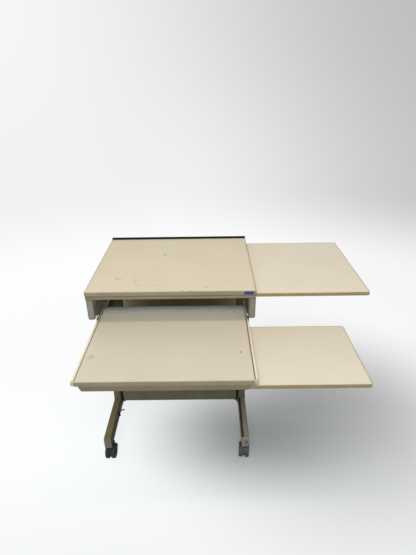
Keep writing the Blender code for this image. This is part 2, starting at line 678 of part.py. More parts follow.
def build_legs(desk):
    for name, side in SIDES.items():
        x0, x1 = mirrored(side, LEG_INNER, LEG_OUTER)
        low, high = (x0, FOOT_BOTTOM), (x1, FOOT_TOP)
        foot = tube(f"{name}_foot", low, high, FOOT_CORNER, TUBE_WALL, "Y", FOOT_FRONT, FOOT_REAR)
        for label, y in (("front", FOOT_FRONT + CASTER_INSET), ("rear", FOOT_REAR - CASTER_INSET)):
            hole = rod(
                f"{name}_{label}_stem_hole",
                STEM_RADIUS + RUN,
                (side * LEG_SPREAD / 2, y, FOOT_BOTTOM - TUBE_WALL),
                (side * LEG_SPREAD / 2, y, FOOT_BOTTOM + 2 * TUBE_WALL),
            )
            cut(foot, hole)
        put(foot, desk, PAINT)

        margin = TUBE_WALL + FIT
        low, high = (x0 + margin, FOOT_BOTTOM + margin), (x1 - margin, FOOT_TOP - margin)
        plug = rectangle(low, high, max(FOOT_CORNER - TUBE_WALL, 0.0))
        ends = (("front", FOOT_FRONT - CAP_PROUD, CAP_PLUG), ("rear", FOOT_REAR + CAP_PROUD, -CAP_PLUG))
        for label, face, depth in ends:
            cap = extrusion(f"{name}_{label}_foot_cap", [plug], "Y", *sorted((face, face + depth)))
            put(cap, desk, GREY)

        low, high = (x0, COLUMN_FRONT), (x1, COLUMN_FRONT + COLUMN_DEPTH)
        column = tube(f"{name}_column", low, high, COLUMN_CORNER, TUBE_WALL, "Z", COLUMN_BOTTOM, COLUMN_TOP)
        put(column, desk, PAINT)

        arm = box(f"{name}_head_arm", (x0, COLUMN_FRONT, ARM_BOTTOM), (x1, ARM_REAR, ARM_TOP))
        inside_low = (x0 + TUBE_WALL, COLUMN_FRONT + TUBE_WALL, ARM_BOTTOM - TUBE_WALL)
        inside_high = (x1 - TUBE_WALL, ARM_REAR - TUBE_WALL, ARM_TOP - TUBE_WALL)
        put(cut(arm, box(f"{name}_arm_inside", inside_low, inside_high)), desk, PAINT)

        outer = TOP_SIDE - BATTEN_INSET
        x0, x1 = mirrored(side, outer - RISER_WIDTH, outer)
        rear = PLATE_REAR - RISER_INSET
        low, high = (x0, rear - RISER_DEPTH), (x1, rear)
        riser = tube(f"{name}_riser", low, high, COLUMN_CORNER, TUBE_WALL, "Z", PLATE_TOP - FIT, RISER_TOP)
        x0, x1 = mirrored(side, LEG_INNER, outer + BATTEN_INSET / 2)
        join(riser, box(f"{name}_riser_plate", (x0, PLATE_FRONT, PLATE_BOTTOM), (x1, PLATE_REAR, PLATE_TOP)))
        put(riser, desk, PAINT)


def build_modesty_panel(desk):
    half = LEG_INNER - FIT
    front = COLUMN_FRONT + PANEL_SETBACK
    section = outline([
        (-half, front, 0.0),
        (half, front, 0.0),
        (half, front + PANEL_FLANGE, 0.0),
        (half - SHEET, front + PANEL_FLANGE, 0.0),
        (half - SHEET, front + SHEET, 0.0),
        (-half + SHEET, front + SHEET, 0.0),
        (-half + SHEET, front + PANEL_FLANGE, 0.0),
        (-half, front + PANEL_FLANGE, 0.0),
    ])
    bottom, top = PANEL_ARCH - PANEL_ARCH_RADIUS, PANEL_ARCH + PANEL_HEIGHT
    panel = extrusion("modesty_panel", [section], "Z", bottom, top)
    span = half - SHEET
    below = PANEL_ARCH - 2 * PANEL_ARCH_RADIUS
    arch = outline([
        (-span, below, 0.0),
        (span, below, 0.0),
        (span, PANEL_ARCH, PANEL_ARCH_RADIUS),
        (-span, PANEL_ARCH, PANEL_ARCH_RADIUS),
    ], 8)
    cut(panel, extrusion("panel_arch", [arch], "Y", front - SHEET, front + 2 * SHEET))
    put(panel, desk, PAINT)


def build_cable_hook(desk):
    """A bent wire hook on the inner face of the left foot."""
    start = Vector((-LEG_INNER + FIT + HOOK_WIRE, FOOT_FRONT + HOOK_SETBACK, HOOK_HEIGHT))
    curve = bpy.data.curves.new("cable_hook", "CURVE")
    curve.dimensions = "3D"
    curve.bevel_depth = HOOK_WIRE
    curve.bevel_resolution = 1
    curve.use_fill_caps = True
    spline = curve.splines.new("POLY")
    steps = 6
    reach = HOOK_REACH - HOOK_WIRE
    route = [(0.0, 0.0, -HOOK_SHANK)]
    for step in range(steps + 1):
        angle = math.radians(90.0) * step / steps
        route.append((reach * (1 - math.cos(angle)), 0.0, HOOK_RISE * math.sin(angle)))
    spline.points.add(len(route) - 1)
    for target, offset in zip(spline.points, route):
        target.co = (*(start + Vector(offset)), 1.0)
    put(meshed(bpy.data.objects.new("cable_hook", curve), Matrix.Identity(4)), desk, PAINT)


def build_caster(desk, name, x, y, turn):
    """A twin-wheel caster with a hood; its empty lies on the swivel axis, at the floor."""
    swivel = add_empty(f"caster_{name}", (x, y, 0.0), desk, math.radians(turn))
    axle = Vector((0.0, CASTER_TRAIL, WHEEL_RADIUS))
    reach = CASTER_WEB / 2 + RUN + WHEEL_WIDTH
    hood_inner = WHEEL_RADIUS + HOOD_GAP
    hood_outer = hood_inner + HOOD_WALL

    def across(label, radius, x0, x1, sides=ROUND_SIDES):
        start, end = axle + Vector((x0, 0.0, 0.0)), axle + Vector((x1, 0.0, 0.0))
        return rod(f"caster_{name}_{label}", radius, start, end, sides)

    body = across("body", hood_outer, -reach, reach)
    wide = Vector((2 * hood_outer, 2 * hood_outer, 0.0))
    below = axle - Vector((0.0, 0.0, HOOD_CUT))
    deep = Vector((0.0, 0.0, 2 * hood_outer))
    cut(body, box(f"caster_{name}_below", below - wide - deep, below + wide))
    opened = axle + Vector((0.0, HOOD_OPEN + 2 * hood_outer, 0.0))
    cut(body, box(f"caster_{name}_opening", opened - wide - deep, opened + wide + deep))
    join(body, across("web", WEB_RADIUS, -CASTER_WEB / 2, CASTER_WEB / 2))
    neck_foot = Vector((0.0, 0.0, WHEEL_RADIUS + hood_inner - NECK_RADIUS))
    join(body, rod(f"caster_{name}_neck", NECK_RADIUS, neck_foot, (0.0, 0.0, FOOT_BOTTOM - FIT)))
    stem_top = (0.0, 0.0, FOOT_BOTTOM + STEM_LENGTH)
    join(body, rod(f"caster_{name}_stem", STEM_RADIUS, (0.0, 0.0, FOOT_BOTTOM - NECK_RADIUS), stem_top))
    for label, side in SIDES.items():
        x0, x1 = mirrored(side, CASTER_WEB / 2, 2 * reach)
        cut(body, across(f"{label}_wheel_space", hood_inner, x0, x1))
    join(body, across("axle", AXLE_RADIUS, -reach + FIT, reach - FIT, 16))
    for helper in [modifier.object for modifier in body.modifiers]:
        helper.parent = swivel
    PARTS.objects.link(body)
    body.parent = swivel
    body.data.materials.append(GREY)

    for label, side in SIDES.items():
        middle = axle + Vector((side * (CASTER_WEB / 2 + RUN + WHEEL_WIDTH / 2), 0.0, 0.0))
        half, bore = WHEEL_WIDTH / 2, AXLE_RADIUS + RUN
        profile = outline([
            (WHEEL_RADIUS, half, WHEEL_EDGE),
            (WHEEL_RADIUS, -half, WHEEL_EDGE),
            (bore, -half, 0.0),
            (bore, half, 0.0),
        ], 2)
        wheel = smooth(turned(f"caster_{name}_{label}_wheel", profile))
        PARTS.objects.link(wheel)
        wheel.parent = swivel
        wheel.location = middle
        wheel.rotation_euler.y = math.pi / 2
        wheel.data.materials.append(GREY)


def build_casters(desk):
    for name, turn in CASTER_TURNS.items():
        row, side = name.split("_")
        y = FOOT_FRONT + CASTER_INSET if row == "front" else FOOT_REAR - CASTER_INSET
        build_caster(desk, name, SIDES[side] * LEG_SPREAD / 2, y, turn)


def main():
    desk = add_empty("desk", (0.0, 0.0, 0.0))
    tray = add_empty("tray", (0.0, 0.0, TRAY_TOP), desk)
    upper_leaf = add_empty("upper_leaf", (TOP_SIDE, UPPER_LEAF_FRONT, UPPER_LEAF_TOP), desk)
    lower_leaf = add_empty("lower_leaf", (TRAY_SIDE, LOWER_LEAF_FRONT, LOWER_LEAF_TOP), tray)
    build_top(desk)
    build_top_frame(desk)
    build_upper_leaf(upper_leaf)
    build_tray(tray)
    build_slides(desk, tray)
    build_lower_leaf(lower_leaf)
    build_legs(desk)
    build_modesty_panel(desk)
    build_cable_hook(desk)
    build_casters(desk)
    for helper in CUTTERS.objects:
        if helper.parent is None:
            helper.parent = desk
    desk.location = -ORIGIN


main()
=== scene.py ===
"""Looks of a mobile computer desk, laid out as a Blender add-on and run as a script.

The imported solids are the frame, in metres. Each operator makes one group of pieces over them: boards and
bands, the frame under the top, the tray, the slides, the legs, the casters and the small fittings. Finishes
are made first, from shared node groups for edge wear, mottling, scratches, marks and grain.
"""

import json
import math
from functools import partial

import bmesh
import bpy
import numpy as np
from bpy.props import FloatProperty, FloatVectorProperty, PointerProperty
from mathutils import Matrix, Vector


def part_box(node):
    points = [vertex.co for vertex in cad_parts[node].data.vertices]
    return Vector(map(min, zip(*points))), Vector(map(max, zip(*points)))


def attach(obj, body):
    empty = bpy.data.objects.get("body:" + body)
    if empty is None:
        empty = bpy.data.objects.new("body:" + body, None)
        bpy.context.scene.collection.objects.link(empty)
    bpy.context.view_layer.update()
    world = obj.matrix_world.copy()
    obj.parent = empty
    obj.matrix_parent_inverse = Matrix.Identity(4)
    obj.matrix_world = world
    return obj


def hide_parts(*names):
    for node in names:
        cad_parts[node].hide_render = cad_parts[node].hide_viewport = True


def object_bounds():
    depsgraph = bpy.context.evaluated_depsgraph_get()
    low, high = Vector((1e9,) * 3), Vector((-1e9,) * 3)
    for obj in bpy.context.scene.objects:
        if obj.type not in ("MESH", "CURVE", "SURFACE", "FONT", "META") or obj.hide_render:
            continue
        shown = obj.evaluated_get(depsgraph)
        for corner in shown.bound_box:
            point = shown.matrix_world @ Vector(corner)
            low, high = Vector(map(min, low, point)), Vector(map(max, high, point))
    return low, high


bl_info = {
    "name": "Mobile computer desk",
    "version": (1, 0, 0),
    "blender": (4, 5, 0),
    "location": "View3D > Sidebar > Desk",
    "description": "Finishes and fittings of a rolling desk with a tray and two sliding leaves",
    "category": "Object",
}

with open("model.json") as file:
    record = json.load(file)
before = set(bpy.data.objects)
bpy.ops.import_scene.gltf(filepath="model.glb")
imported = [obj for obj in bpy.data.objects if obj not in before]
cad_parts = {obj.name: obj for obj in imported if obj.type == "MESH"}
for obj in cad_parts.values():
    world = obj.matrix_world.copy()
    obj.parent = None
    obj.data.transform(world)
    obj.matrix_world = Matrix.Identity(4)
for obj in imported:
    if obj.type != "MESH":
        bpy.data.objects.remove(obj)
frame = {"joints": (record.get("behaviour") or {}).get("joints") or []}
CAD_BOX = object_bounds()
JOINTS = {joint["name"]: joint for joint in frame["joints"]}
SIDES = {"left": -1, "right": 1}
CASTERS = ("front_left", "front_right", "rear_left", "rear_right")
ALONG_X = (1.0, 0.0, 0.0)
UPWARD = (0.0, 0.0, 1.0)

# Faces that meet at more than this angle keep a sharp edge
SHARP_ANGLE = math.radians(35.0)

# Widths of softened edges
NO_EDGE = 0.0
FINE_EDGE = 0.0002
SOFT_EDGE = 0.0003

# Each side's bracket and hanger paint made lighter or darker as painted light and shade, and the risers'
# tone;
# all are factors of the base colour
BRACKET_PAINTED_SHADING = {"left": (1.19, 1.13, 1.13), "right": (0.96, 0.97, 0.93)}
HANGER_PAINTED_SHADING = {"left": 1.35, "right": 0.55}
RISER_TONE = 0.6

# Colours of wear, and of the painted shade in the seam where a strip meets the tray
BARE_STEEL = (0.40, 0.38, 0.35)
RUB_LINES = (0.42, 0.40, 0.37)
SEAM_PAINTED_SHADE = (0.075, 0.050, 0.030)

# How deep the marks on the boards reach
MARK_DEPTH = 0.004

# Guide discs: distance behind a hanger's front end, and above its shelf
GUIDE_DISCS = ((0.010, 0.030), (0.044, 0.013), (0.150, 0.013))

# Corner radius of the dark strips on the feet
STRIP_CORNER = 0.001

# Heights of a foot cap's ribs and of the slots between them, as shares of the foot's height
RIBS = (0.30, 0.50, 0.70)
# The slots are flat dark strips of painted shade
SLOTS = (0.40, 0.60)

# The floor's ends along X and Y, and the distances over which it fades into the background
FLOOR_ENDS = ((-6.0, 6.0), (-5.0, 7.0))
FLOOR_FADE = (0.7, 2.3)

# Painted shade and shadow on the floor, where it glows less: a band in front, and two soft oval patches of
# painted shadow given by their middle, half sizes and the distances, in half sizes, over which the glow rises
FRONT_PAINTED_SHADE = (-0.9, -0.1)
WIDE_PAINTED_SHADOW = ((0.63, 0.105, 0.0), (1.0, 0.858, 1.0), 0.031, 1.232)
CORE_PAINTED_SHADOW = ((0.128, -0.078, 0.0), (0.694, 0.419, 1.0), 0.0, 1.0)


def length(name, description, default):
    return FloatProperty(
        name=name, description=description, default=default, min=0.0, precision=4,
        unit="LENGTH", subtype="DISTANCE",
    )


def colour(name, description, default):
    return FloatVectorProperty(
        name=name, description=description, default=default, size=3, min=0.0, max=1.0, subtype="COLOR"
    )


def amount(name, description, default, least=0.0):
    return FloatProperty(name=name, description=description, default=default, min=least)


def tilt(name, description, degrees):
    return FloatProperty(
        name=name, description=description, default=math.radians(degrees), subtype="ANGLE"
    )


def position(name, description, default):
    return FloatVectorProperty(
        name=name, description=description, default=default, size=3, subtype="XYZ"
    )


class DeskSizes(bpy.types.PropertyGroup):
    """Sizes that the frame's boxes don't give."""

    band: length("Edge band", "Thickness of the band around a board", 0.002)
    band_round: length("Band rounding", "Radius along the upper and lower edge of a band", 0.0013)
    board_corner: length("Board corner", "Corner radius of the top and of the leaves' inner ends", 0.004)
    leaf_corner: length("Leaf corner", "Corner radius of the leaves' outer ends", 0.010)
    arris: length("Arris", "Softened edge of boards and sheet", 0.0004)
    sheet: length("Frame sheet", "Thickness of the folded sheet of the frame", 0.0015)
    slide_sheet: length("Slide sheet", "Thickness of the sheet of the slides and the tray steel", 0.0012)
    fold: length("Fold", "Inner radius of a fold in sheet", 0.0008)
    fit: length("Fit", "Gap between pieces that touch", 0.0003)
    rail_face: length("Rail face", "Height of the front rail's lower face", 0.010)
    rail_step: length("Rail step", "Depth of the groove above that face", 0.003)
    bracket_corner: length("Bracket corner", "Radius of a bracket's lower edges", 0.008)
    bracket_nose: length("Bracket nose", "Rounding around a bracket's front face", 0.0028)
    leaf_flange: length("Leaf flange", "Depth of the ledges that carry the lower leaf", 0.019)
    tray_flange: length("Tray flange", "Depth of the flanges screwed under the tray board", 0.024)
    skirt_slant: length("Skirt slant", "How much shorter each end of the skirt is at the bottom", 0.0115)
    tube_wall: length("Tube wall", "Wall of the leg tubes", 0.002)
    foot_corner: length("Foot corner", "Outer corner radius of the foot tubes", 0.004)
    column_corner: length("Column corner", "Outer corner radius of the columns", 0.005)
    riser_plate: length("Riser plate", "Thickness of the plates under the risers", 0.0075)
    riser_width: length("Riser width", "Width of the riser tubes", 0.0195)
    riser_depth: length("Riser depth", "Depth of the riser tubes", 0.160)
    riser_inset: length("Riser inset", "Distance of a riser tube from the rear end of its plate", 0.005)
    arch: length("Arch", "Radius of the arch under the modesty panel", 0.029)
    wire: length("Wire", "Radius of the cable hook's wire", 0.0030)
    # The dark band along this groove is painted shade
    strip_seam: length("Strip seam", "Width of the dirty groove between the tray and its strips", 0.0046)
    strip_groove: length("Strip groove", "Depth of that groove", 0.0007)
    foot_trim: length("Foot trim", "Width of the dark strip along the right foot", 0.0065)
    # The dark strip in this gap is painted shadow
    trim_gap_shadow: length("Trim gap", "Width of the dirty gap beside that strip", 0.003)
    trim_rise: length("Trim rise", "How far the strip stands above the foot", 0.0012)
    strip_rise: length("Strip rise", "Height above the left foot's underside where its strip starts", 0.006)
    slot: length("Slot", "Height of the slots in the right foot's front cap", 0.004)
    slot_start: length("Slot start", "Distance of those slots from the foot's inner side", 0.010)
    slot_end: length("Slot end", "Distance of those slots from the foot's outer side", 0.003)
    rib: length("Rib", "Height of the ribs on a foot's caps", 0.0032)
    rib_inset: length("Rib inset", "Distance of those ribs from the foot's sides", 0.004)
    hanger_lead: length("Hanger lead", "How far the hangers' lower folds start before the tracks", 0.014)
    cap_lift: length("Cap lift", "How far the runners' caps end above the runners' undersides", 0.006)
    disc: length("Guide disc", "Radius of the guide discs on the hangers", 0.0058)
    # The dark strips in these gaps are painted shadow
    panel_gap: length("Panel gap", "Width of the dirty gaps at the ends of the modesty panel", 0.010)
    screw: length("Screw head", "Radius of the screw heads", 0.0042)
    screw_end: length("Screw end", "Distance of a bracket's first and last screw from its ends", 0.05)
    screw_drop: length("Screw drop", "Distance of those screws from the bracket's top", 0.018)
    plate_place: length("Plate place", "Where the blank plate starts along the front edge", 0.0678)
    plate_width: length("Plate width", "Width of the blank plate", 0.0385)
    plate_height: length("Plate height", "Height of the blank plate", 0.014)
    plate_drop: length("Plate drop", "Distance of the blank plate from the upper edge", 0.002)
    plate_rise: length("Plate rise", "How far the blank plate stands before the edge", 0.0008)
    hook_shank: length("Hook shank", "Height at which the cable hook begins to bend", 0.020)
    weld: length("Weld bead", "Radius of the weld beads", 0.0024)
    wheel: length("Wheel", "Radius of a caster wheel", 0.032)
    wheel_width: length("Wheel width", "Width of a caster wheel", 0.019)
    wheel_gap: length("Wheel gap", "Gap between the web and a wheel", 0.0004)
    web: length("Caster web", "Thickness of the web between a caster's wheels", 0.009)
    web_disc: length("Web disc", "Radius of that web where the hood leaves it open", 0.026)
    hood_gap: length("Hood gap", "Gap between a wheel and the hood", 0.0015)
    hood_wall: length("Hood wall", "Wall of the hood", 0.0025)
    hood_cut: length("Hood cut", "How far the hood reaches below the axle", 0.008)
    hood_open: length("Hood opening", "How far the hood reaches past the axle, away from the stem", 0.010)
    neck: length("Neck", "Radius of a caster's neck", 0.013)


class DeskColours(bpy.types.PropertyGroup):
    """Base colours of the finishes, linear."""

    top: colour("Top", "Laminate of the top", (0.675, 0.592, 0.440))
    leaf: colour("Leaves", "Laminate of both leaves", (0.735, 0.655, 0.53))
    tray: colour("Tray", "Laminate of the tray", (0.640, 0.573, 0.457))
    band: colour("Bands", "Edge bands of the top and the tray", (0.277, 0.233, 0.154))
    leaf_band: colour("Leaf bands", "Edge bands of the leaves", (0.298, 0.230, 0.112))
    legs: colour("Leg paint", "Powder coat of the columns and arms", (0.185, 0.162, 0.115))
    # Lit and shaded copies of one paint: the left foot darker and browner as painted shade, the right foot
    # lighter as painted light
    left_foot: colour("Left foot", "Powder coat of the left foot", (0.206, 0.172, 0.096))
    right_foot: colour("Right foot", "Powder coat of the right foot", (0.270, 0.251, 0.190))
    panel: colour("Modesty panel", "Powder coat of the modesty panel", (0.205, 0.183, 0.125))
    # Darkened, this colour serves as painted shade on the cap slots and the left foot's strip
    trim: colour("Foot trim", "Dark strips on the feet, cap slots and hook", (0.062, 0.036, 0.022))
    # This colour is painted shadow in those gaps
    gap: colour("Gaps", "Dirt in the gaps beside the trim and the panel", (0.010, 0.008, 0.006))
    inner: colour("Inner paint", "Powder coat of the back panel and the risers", (0.50, 0.385, 0.215))
    hanger: colour("Hanger paint", "Powder coat of the slides' hangers", (0.115, 0.108, 0.092))
    rail: colour("Rail paint", "Powder coat of the rails", (0.252, 0.214, 0.141))
    bracket: colour("Bracket paint", "Powder coat of the side brackets", (0.235, 0.222, 0.180))
    skirt: colour("Skirt paint", "Powder coat of the skirt under the tray", (0.206, 0.168, 0.100))
    slides: colour("Slide paint", "Epoxy coat of the slides", (0.84, 0.70, 0.52))
    # Its pale blue-grey is partly a painted reflection
    zinc: colour("Zinc", "Plated steel under the tray", (0.68, 0.74, 0.74))
    black: colour("Stop strip", "Plastic strip behind the top", (0.007, 0.007, 0.008))
    # Painted light and shade: the left caps darker and browner than the right ones
    left_cap: colour("Left caps", "Moulded caps of the left foot", (0.175, 0.146, 0.108))
    right_cap: colour("Right caps", "Moulded caps of the right foot", (0.245, 0.234, 0.215))
    caster: colour("Casters", "Moulded caster bodies and wheels", (0.070, 0.067, 0.062))
    nylon: colour("Nylon", "Rollers and runner caps", (0.80, 0.75, 0.68))
    plate: colour("Blank plate", "Small plain plate on the front edge", (0.020, 0.036, 0.215))
    screw: colour("Screws", "Plated screw heads", (0.46, 0.45, 0.42))


class DeskStage(bpy.types.PropertyGroup):
    """Camera, light and floor."""

    lens: amount("Lens", "Focal length in mm", 27.594, 1.0)
    place: position("Camera", "Place of the camera", (-0.0715, -1.632, 1.666))
    pitch: tilt("Pitch", "How far the camera looks down", 26.458)
    roll: tilt("Roll", "Roll of the camera", 0.821)
    yaw: tilt("Yaw", "Turn of the camera to the right", -0.277)
    floor: colour("Floor", "Colour of the floor, under its glow", (0.25, 0.25, 0.245))
    lift: amount("Lift", "Glow of the floor for the camera", 0.775)
    # Dim, core and front glow set the painted shadow and shade on the floor
    dim: amount("Dim", "How much weaker that glow is in the wide patch", 0.697)
    core: amount("Core", "Share of the glow that is left under the desk", 0.278)
    front_glow: amount("Front glow", "Share of the glow that is left far in front", 0.86)
    ambient: amount("Ambient", "Light from all round", 0.22)
    sky: amount("Sky", "More light from straight above", 0.05)
    fill: amount("Fill", "More light from the front", 0.54)
    back: amount("Back", "More light from behind", 0.60)
    shade: colour("Shade", "Colour of the light from all round", (0.90, 0.95, 1.0))
    tube: position("Tube", "Place of the long lamp overhead", (-0.25, -0.77, 4.25))
    tube_power: amount("Tube power", "Power of the long lamp, in W", 38.0)
    tube_colour: colour("Tube colour", "Colour of the long lamp", (1.0, 0.83, 0.60))
    front: position("Front lamp", "Place of the lamp in front", (-0.30, -3.0, 3.6))
    front_power: amount("Front power", "Power of that lamp, in W", 105.0)
    front_colour: colour("Front colour", "Colour of that lamp", (0.86, 0.945, 1.0))


def sizes():
    return bpy.context.scene.desk_sizes


def colours():
    return bpy.context.scene.desk_colours


# Shapes


def unit(vectors):
    """Vectors scaled to a length of one, and zero vectors left as they are."""
    size = np.linalg.norm(vectors, axis=-1, keepdims=True)
    return vectors / np.where(size > 0, size, 1.0)


def turns(count):
    """Equal angles round a circle."""
    return np.linspace(0.0, 2 * math.pi, count, endpoint=False)


def square_to(axis):
    """Two unit vectors square to an axis and to each other."""
    side = unit(np.cross(axis, UPWARD if abs(axis[2]) < 0.9 else ALONG_X))
    return side, np.cross(axis, side)


def outline(corners, steps=5):
    """A closed outline of corners (u, v, radius). Each corner gives an arc about the point that lies one
    radius from both of its sides, from one tangent point to the other; radius 0 repeats the corner."""
    corners = np.asarray(corners, float)
    here, radius = corners[:, :2], corners[:, 2:]
    back = unit(np.roll(here, 1, axis=0) - here)
    ahead = unit(np.roll(here, -1, axis=0) - here)
    half = np.arccos(np.clip((back * ahead).sum(1, keepdims=True), -1.0, 1.0)) / 2
    middle = here + unit(back + ahead) * radius / np.sin(half)
    first = here + back * radius / np.tan(half) - middle
    last = here + ahead * radius / np.tan(half) - middle
    start = np.arctan2(first[:, 1], first[:, 0])
    sweep = np.arctan2(last[:, 1], last[:, 0]) - start
    sweep = (sweep + math.pi) % (2 * math.pi) - math.pi
    angle = start[:, None] + sweep[:, None] * np.linspace(0.0, 1.0, steps + 1)
    arc = np.stack([np.cos(angle), np.sin(angle)], -1) * radius[:, None]
    return (middle[:, None] + arc).reshape(-1, 2)


def rectangle(low, high, radii=0.0, inset=0.0, steps=5):
    """A rectangle drawn in by an inset, with rounded corners anticlockwise from low; radii shrink alike."""
    radii = np.maximum(np.broadcast_to(np.asarray(radii, float), 4) - inset, 0.0)
    (u0, v0), (u1, v1) = low, high
    u0, v0, u1, v1 = u0 + inset, v0 + inset, u1 - inset, v1 - inset
    return outline(np.column_stack([(u0, u1, u1, u0), (v0, v0, v1, v1), radii]), steps)


def placed(points, along, at):
    """An outline's (u, v) in space, at a distance along an axis: x, y along Z; x, z along Y; y, z along X."""
    u, v = points.T
    w = np.broadcast_to(at, u.shape)
    return np.stack({"X": (w, u, v), "Y": (u, w, v), "Z": (u, v, w)}[along], -1)


def skin(rings, closed=False):
    """Points and faces of rings (rows, columns, 3): each row joined to the next, and either the last row
    to the first or both ends capped."""
    rings = np.asarray(rings)
    rows, columns = rings.shape[:2]
    row = np.arange(rows if closed else rows - 1)[:, None]
    column = np.arange(columns)[None, :]
    below, beside = (row + 1) % rows, (column + 1) % columns
    here, under = row * columns, below * columns
    corners = (here + column, here + beside, under + beside, under + column)
    faces = np.stack(np.broadcast_arrays(*corners), -1).reshape(-1, 4).tolist()
    if not closed:
        faces.append(np.arange(columns)[::-1].tolist())
        faces.append(np.arange((rows - 1) * columns, rows * columns).tolist())
    return rings.reshape(-1, 3), faces


def prism(points, along, start, end):
    """An outline drawn out along an axis."""
    return skin([placed(points, along, start), placed(points, along, end)])


def pan(outlines, along, places):
    """Outlines of equal length at places along an axis, each joined to the next, the ends capped."""
    return skin([placed(points, along, at) for points, at in zip(outlines, places)])


def hollow(low, high, radius, wall, along, start, end):
    """A rectangular tube: outer outline from start to end, inner outline back, joined into a ring."""
    outer, inner = rectangle(low, high, radius), rectangle(low, high, radius, wall)
    rings = [placed(outer, along, start), placed(outer, along, end)]
    rings += [placed(inner, along, end), placed(inner, along, start)]
    return skin(rings, closed=True)


def folded_box(draw, along, face, rim, nose, sheet, steps):
    """An open box of folded sheet: an outline drawn in by an inset goes from the face round a quarter circle,
    along the sides to the rim, and back inside, one sheet thinner."""
    into = math.copysign(1.0, rim - face)
    angle = np.linspace(0.0, math.pi / 2, steps)
    insets = np.concatenate([nose * (1 - np.sin(angle)), [0.0, sheet, sheet]])
    places = np.concatenate([face + into * nose * (1 - np.cos(angle)), [rim, rim, face + into * sheet]])
    return pan([draw(inset) for inset in insets], along, places)


def crown(face, out, nose):
    """Insets and places of an edge rounded by a quarter circle, up to a face that looks along out."""
    angle = np.linspace(math.pi / 2, 0.0, 4)
    return nose * (1 - np.sin(angle)), face - out * nose * (1 - np.cos(angle))


def turned(profile, middle, axis, count=48):
    """A closed profile of (radius, distance along the axis) turned about an axis through a point."""
    axis = unit(np.asarray(axis, float))
    side, up = square_to(axis)
    angle = turns(count)[:, None, None]
    radial = np.cos(angle) * side + np.sin(angle) * up
    radius, along = profile[None, :, :1], profile[None, :, 1:]
    return skin(np.asarray(middle, float) + radial * radius + axis * along, closed=True)


def bead(path, height, radius, ripple=0.14, pitch=0.0032, count=10):
    """A weld bead round a closed path at a height: a circle carried along the path, whose radius swells and
    shrinks with the distance gone."""
    fine = np.linspace(0.0, 1.0, 240, endpoint=False)
    closed = np.vstack([path, path[:1]])
    gone = np.concatenate([[0.0], np.cumsum(np.linalg.norm(np.diff(closed, axis=0), axis=1))])
    at = fine * gone[-1]
    points = np.stack([np.interp(at, gone, closed[:, 0]), np.interp(at, gone, closed[:, 1])], -1)
    ahead = unit(np.roll(points, -1, axis=0) - np.roll(points, 1, axis=0))
    out = np.stack([ahead[:, 1], -ahead[:, 0]], -1)
    size = radius * (1.0 + ripple * np.cos(2 * math.pi * at / pitch))[:, None]
    angle = turns(count)[None, :]
    flat = points[:, None] + out[:, None] * (size * np.cos(angle))[..., None]
    lifted = height + size * np.sin(angle)
    return skin(np.concatenate([flat, lifted[..., None]], -1), closed=True)


def screw_heads(places, normal, radius):
    """Pan heads on a face: a polar grid whose height is a flattened dome, less a cross recess where the
    distance to one arm is small; the rim drops to the face."""
    rise, drop, deep = 0.42 * radius, 0.05 * radius, 0.30 * radius
    arm_half, arm_slope, arm_end, end_slope = 0.15, 0.06, 0.62, 0.08
    normal = unit(np.asarray(normal, float))
    side, up = square_to(normal)
    share = np.concatenate([np.linspace(0.06, 0.94, 12), [0.98, 1.0, 1.0]])[:, None]
    angle = turns(32)[None, :]
    dome = rise * np.sqrt(np.clip(1.04 - share**4, 0.0, 1.0)) * np.ones_like(angle)
    dome[-1] = -drop
    u, v = share * np.cos(angle), share * np.sin(angle)
    arm = np.minimum(np.abs(u), np.abs(v))
    recess = np.clip((arm_half - arm) / arm_slope, 0.0, 1.0)
    recess = recess * np.clip((arm_end - share) / end_slope, 0.0, 1.0)
    tall = dome - deep * recess
    local = side * (radius * u)[..., None] + up * (radius * v)[..., None] + normal * tall[..., None]
    return [skin(local[::-1] + np.asarray(place, float)) for place in places]


def wire(path, radius, count=12):
    """A round bar carried along a path in one plane, with rounded tips: rings across the path, which shrink
    to the tip as a half circle."""
    path = np.asarray(path, float)
    ahead = unit(np.gradient(path, axis=0))
    cap = np.linspace(0.0, math.pi / 2, 5)[:-1]
    head = path[0] - ahead[0] * radius * np.cos(cap)[:, None]
    tail = path[-1] + ahead[-1] * radius * np.sin(cap[1:])[:, None]
    spine = np.vstack([head, path, tail])
    scale = np.concatenate([np.maximum(np.sin(cap), 0.05), np.ones(len(path)), np.cos(cap[1:])])
    forward = np.vstack([np.repeat(ahead[:1], len(head), 0), ahead, np.repeat(ahead[-1:], len(tail), 0)])
    side = np.broadcast_to((0.0, 1.0, 0.0), forward.shape)
    up = np.cross(forward, side)
    angle = turns(count)[None, :, None]
    round_ = np.cos(angle) * side[:, None] + np.sin(angle) * up[:, None]
    return skin(spine[:, None] + round_ * (radius * scale)[:, None, None])


def local_to_world(shape, origin, across, trail):
    """Points of a caster's own frame, x along the axle, y along the trail, z up, put into the desk."""
    points, faces = shape
    turn = np.stack([across, trail, UPWARD])
    return points @ turn + np.asarray(origin), faces


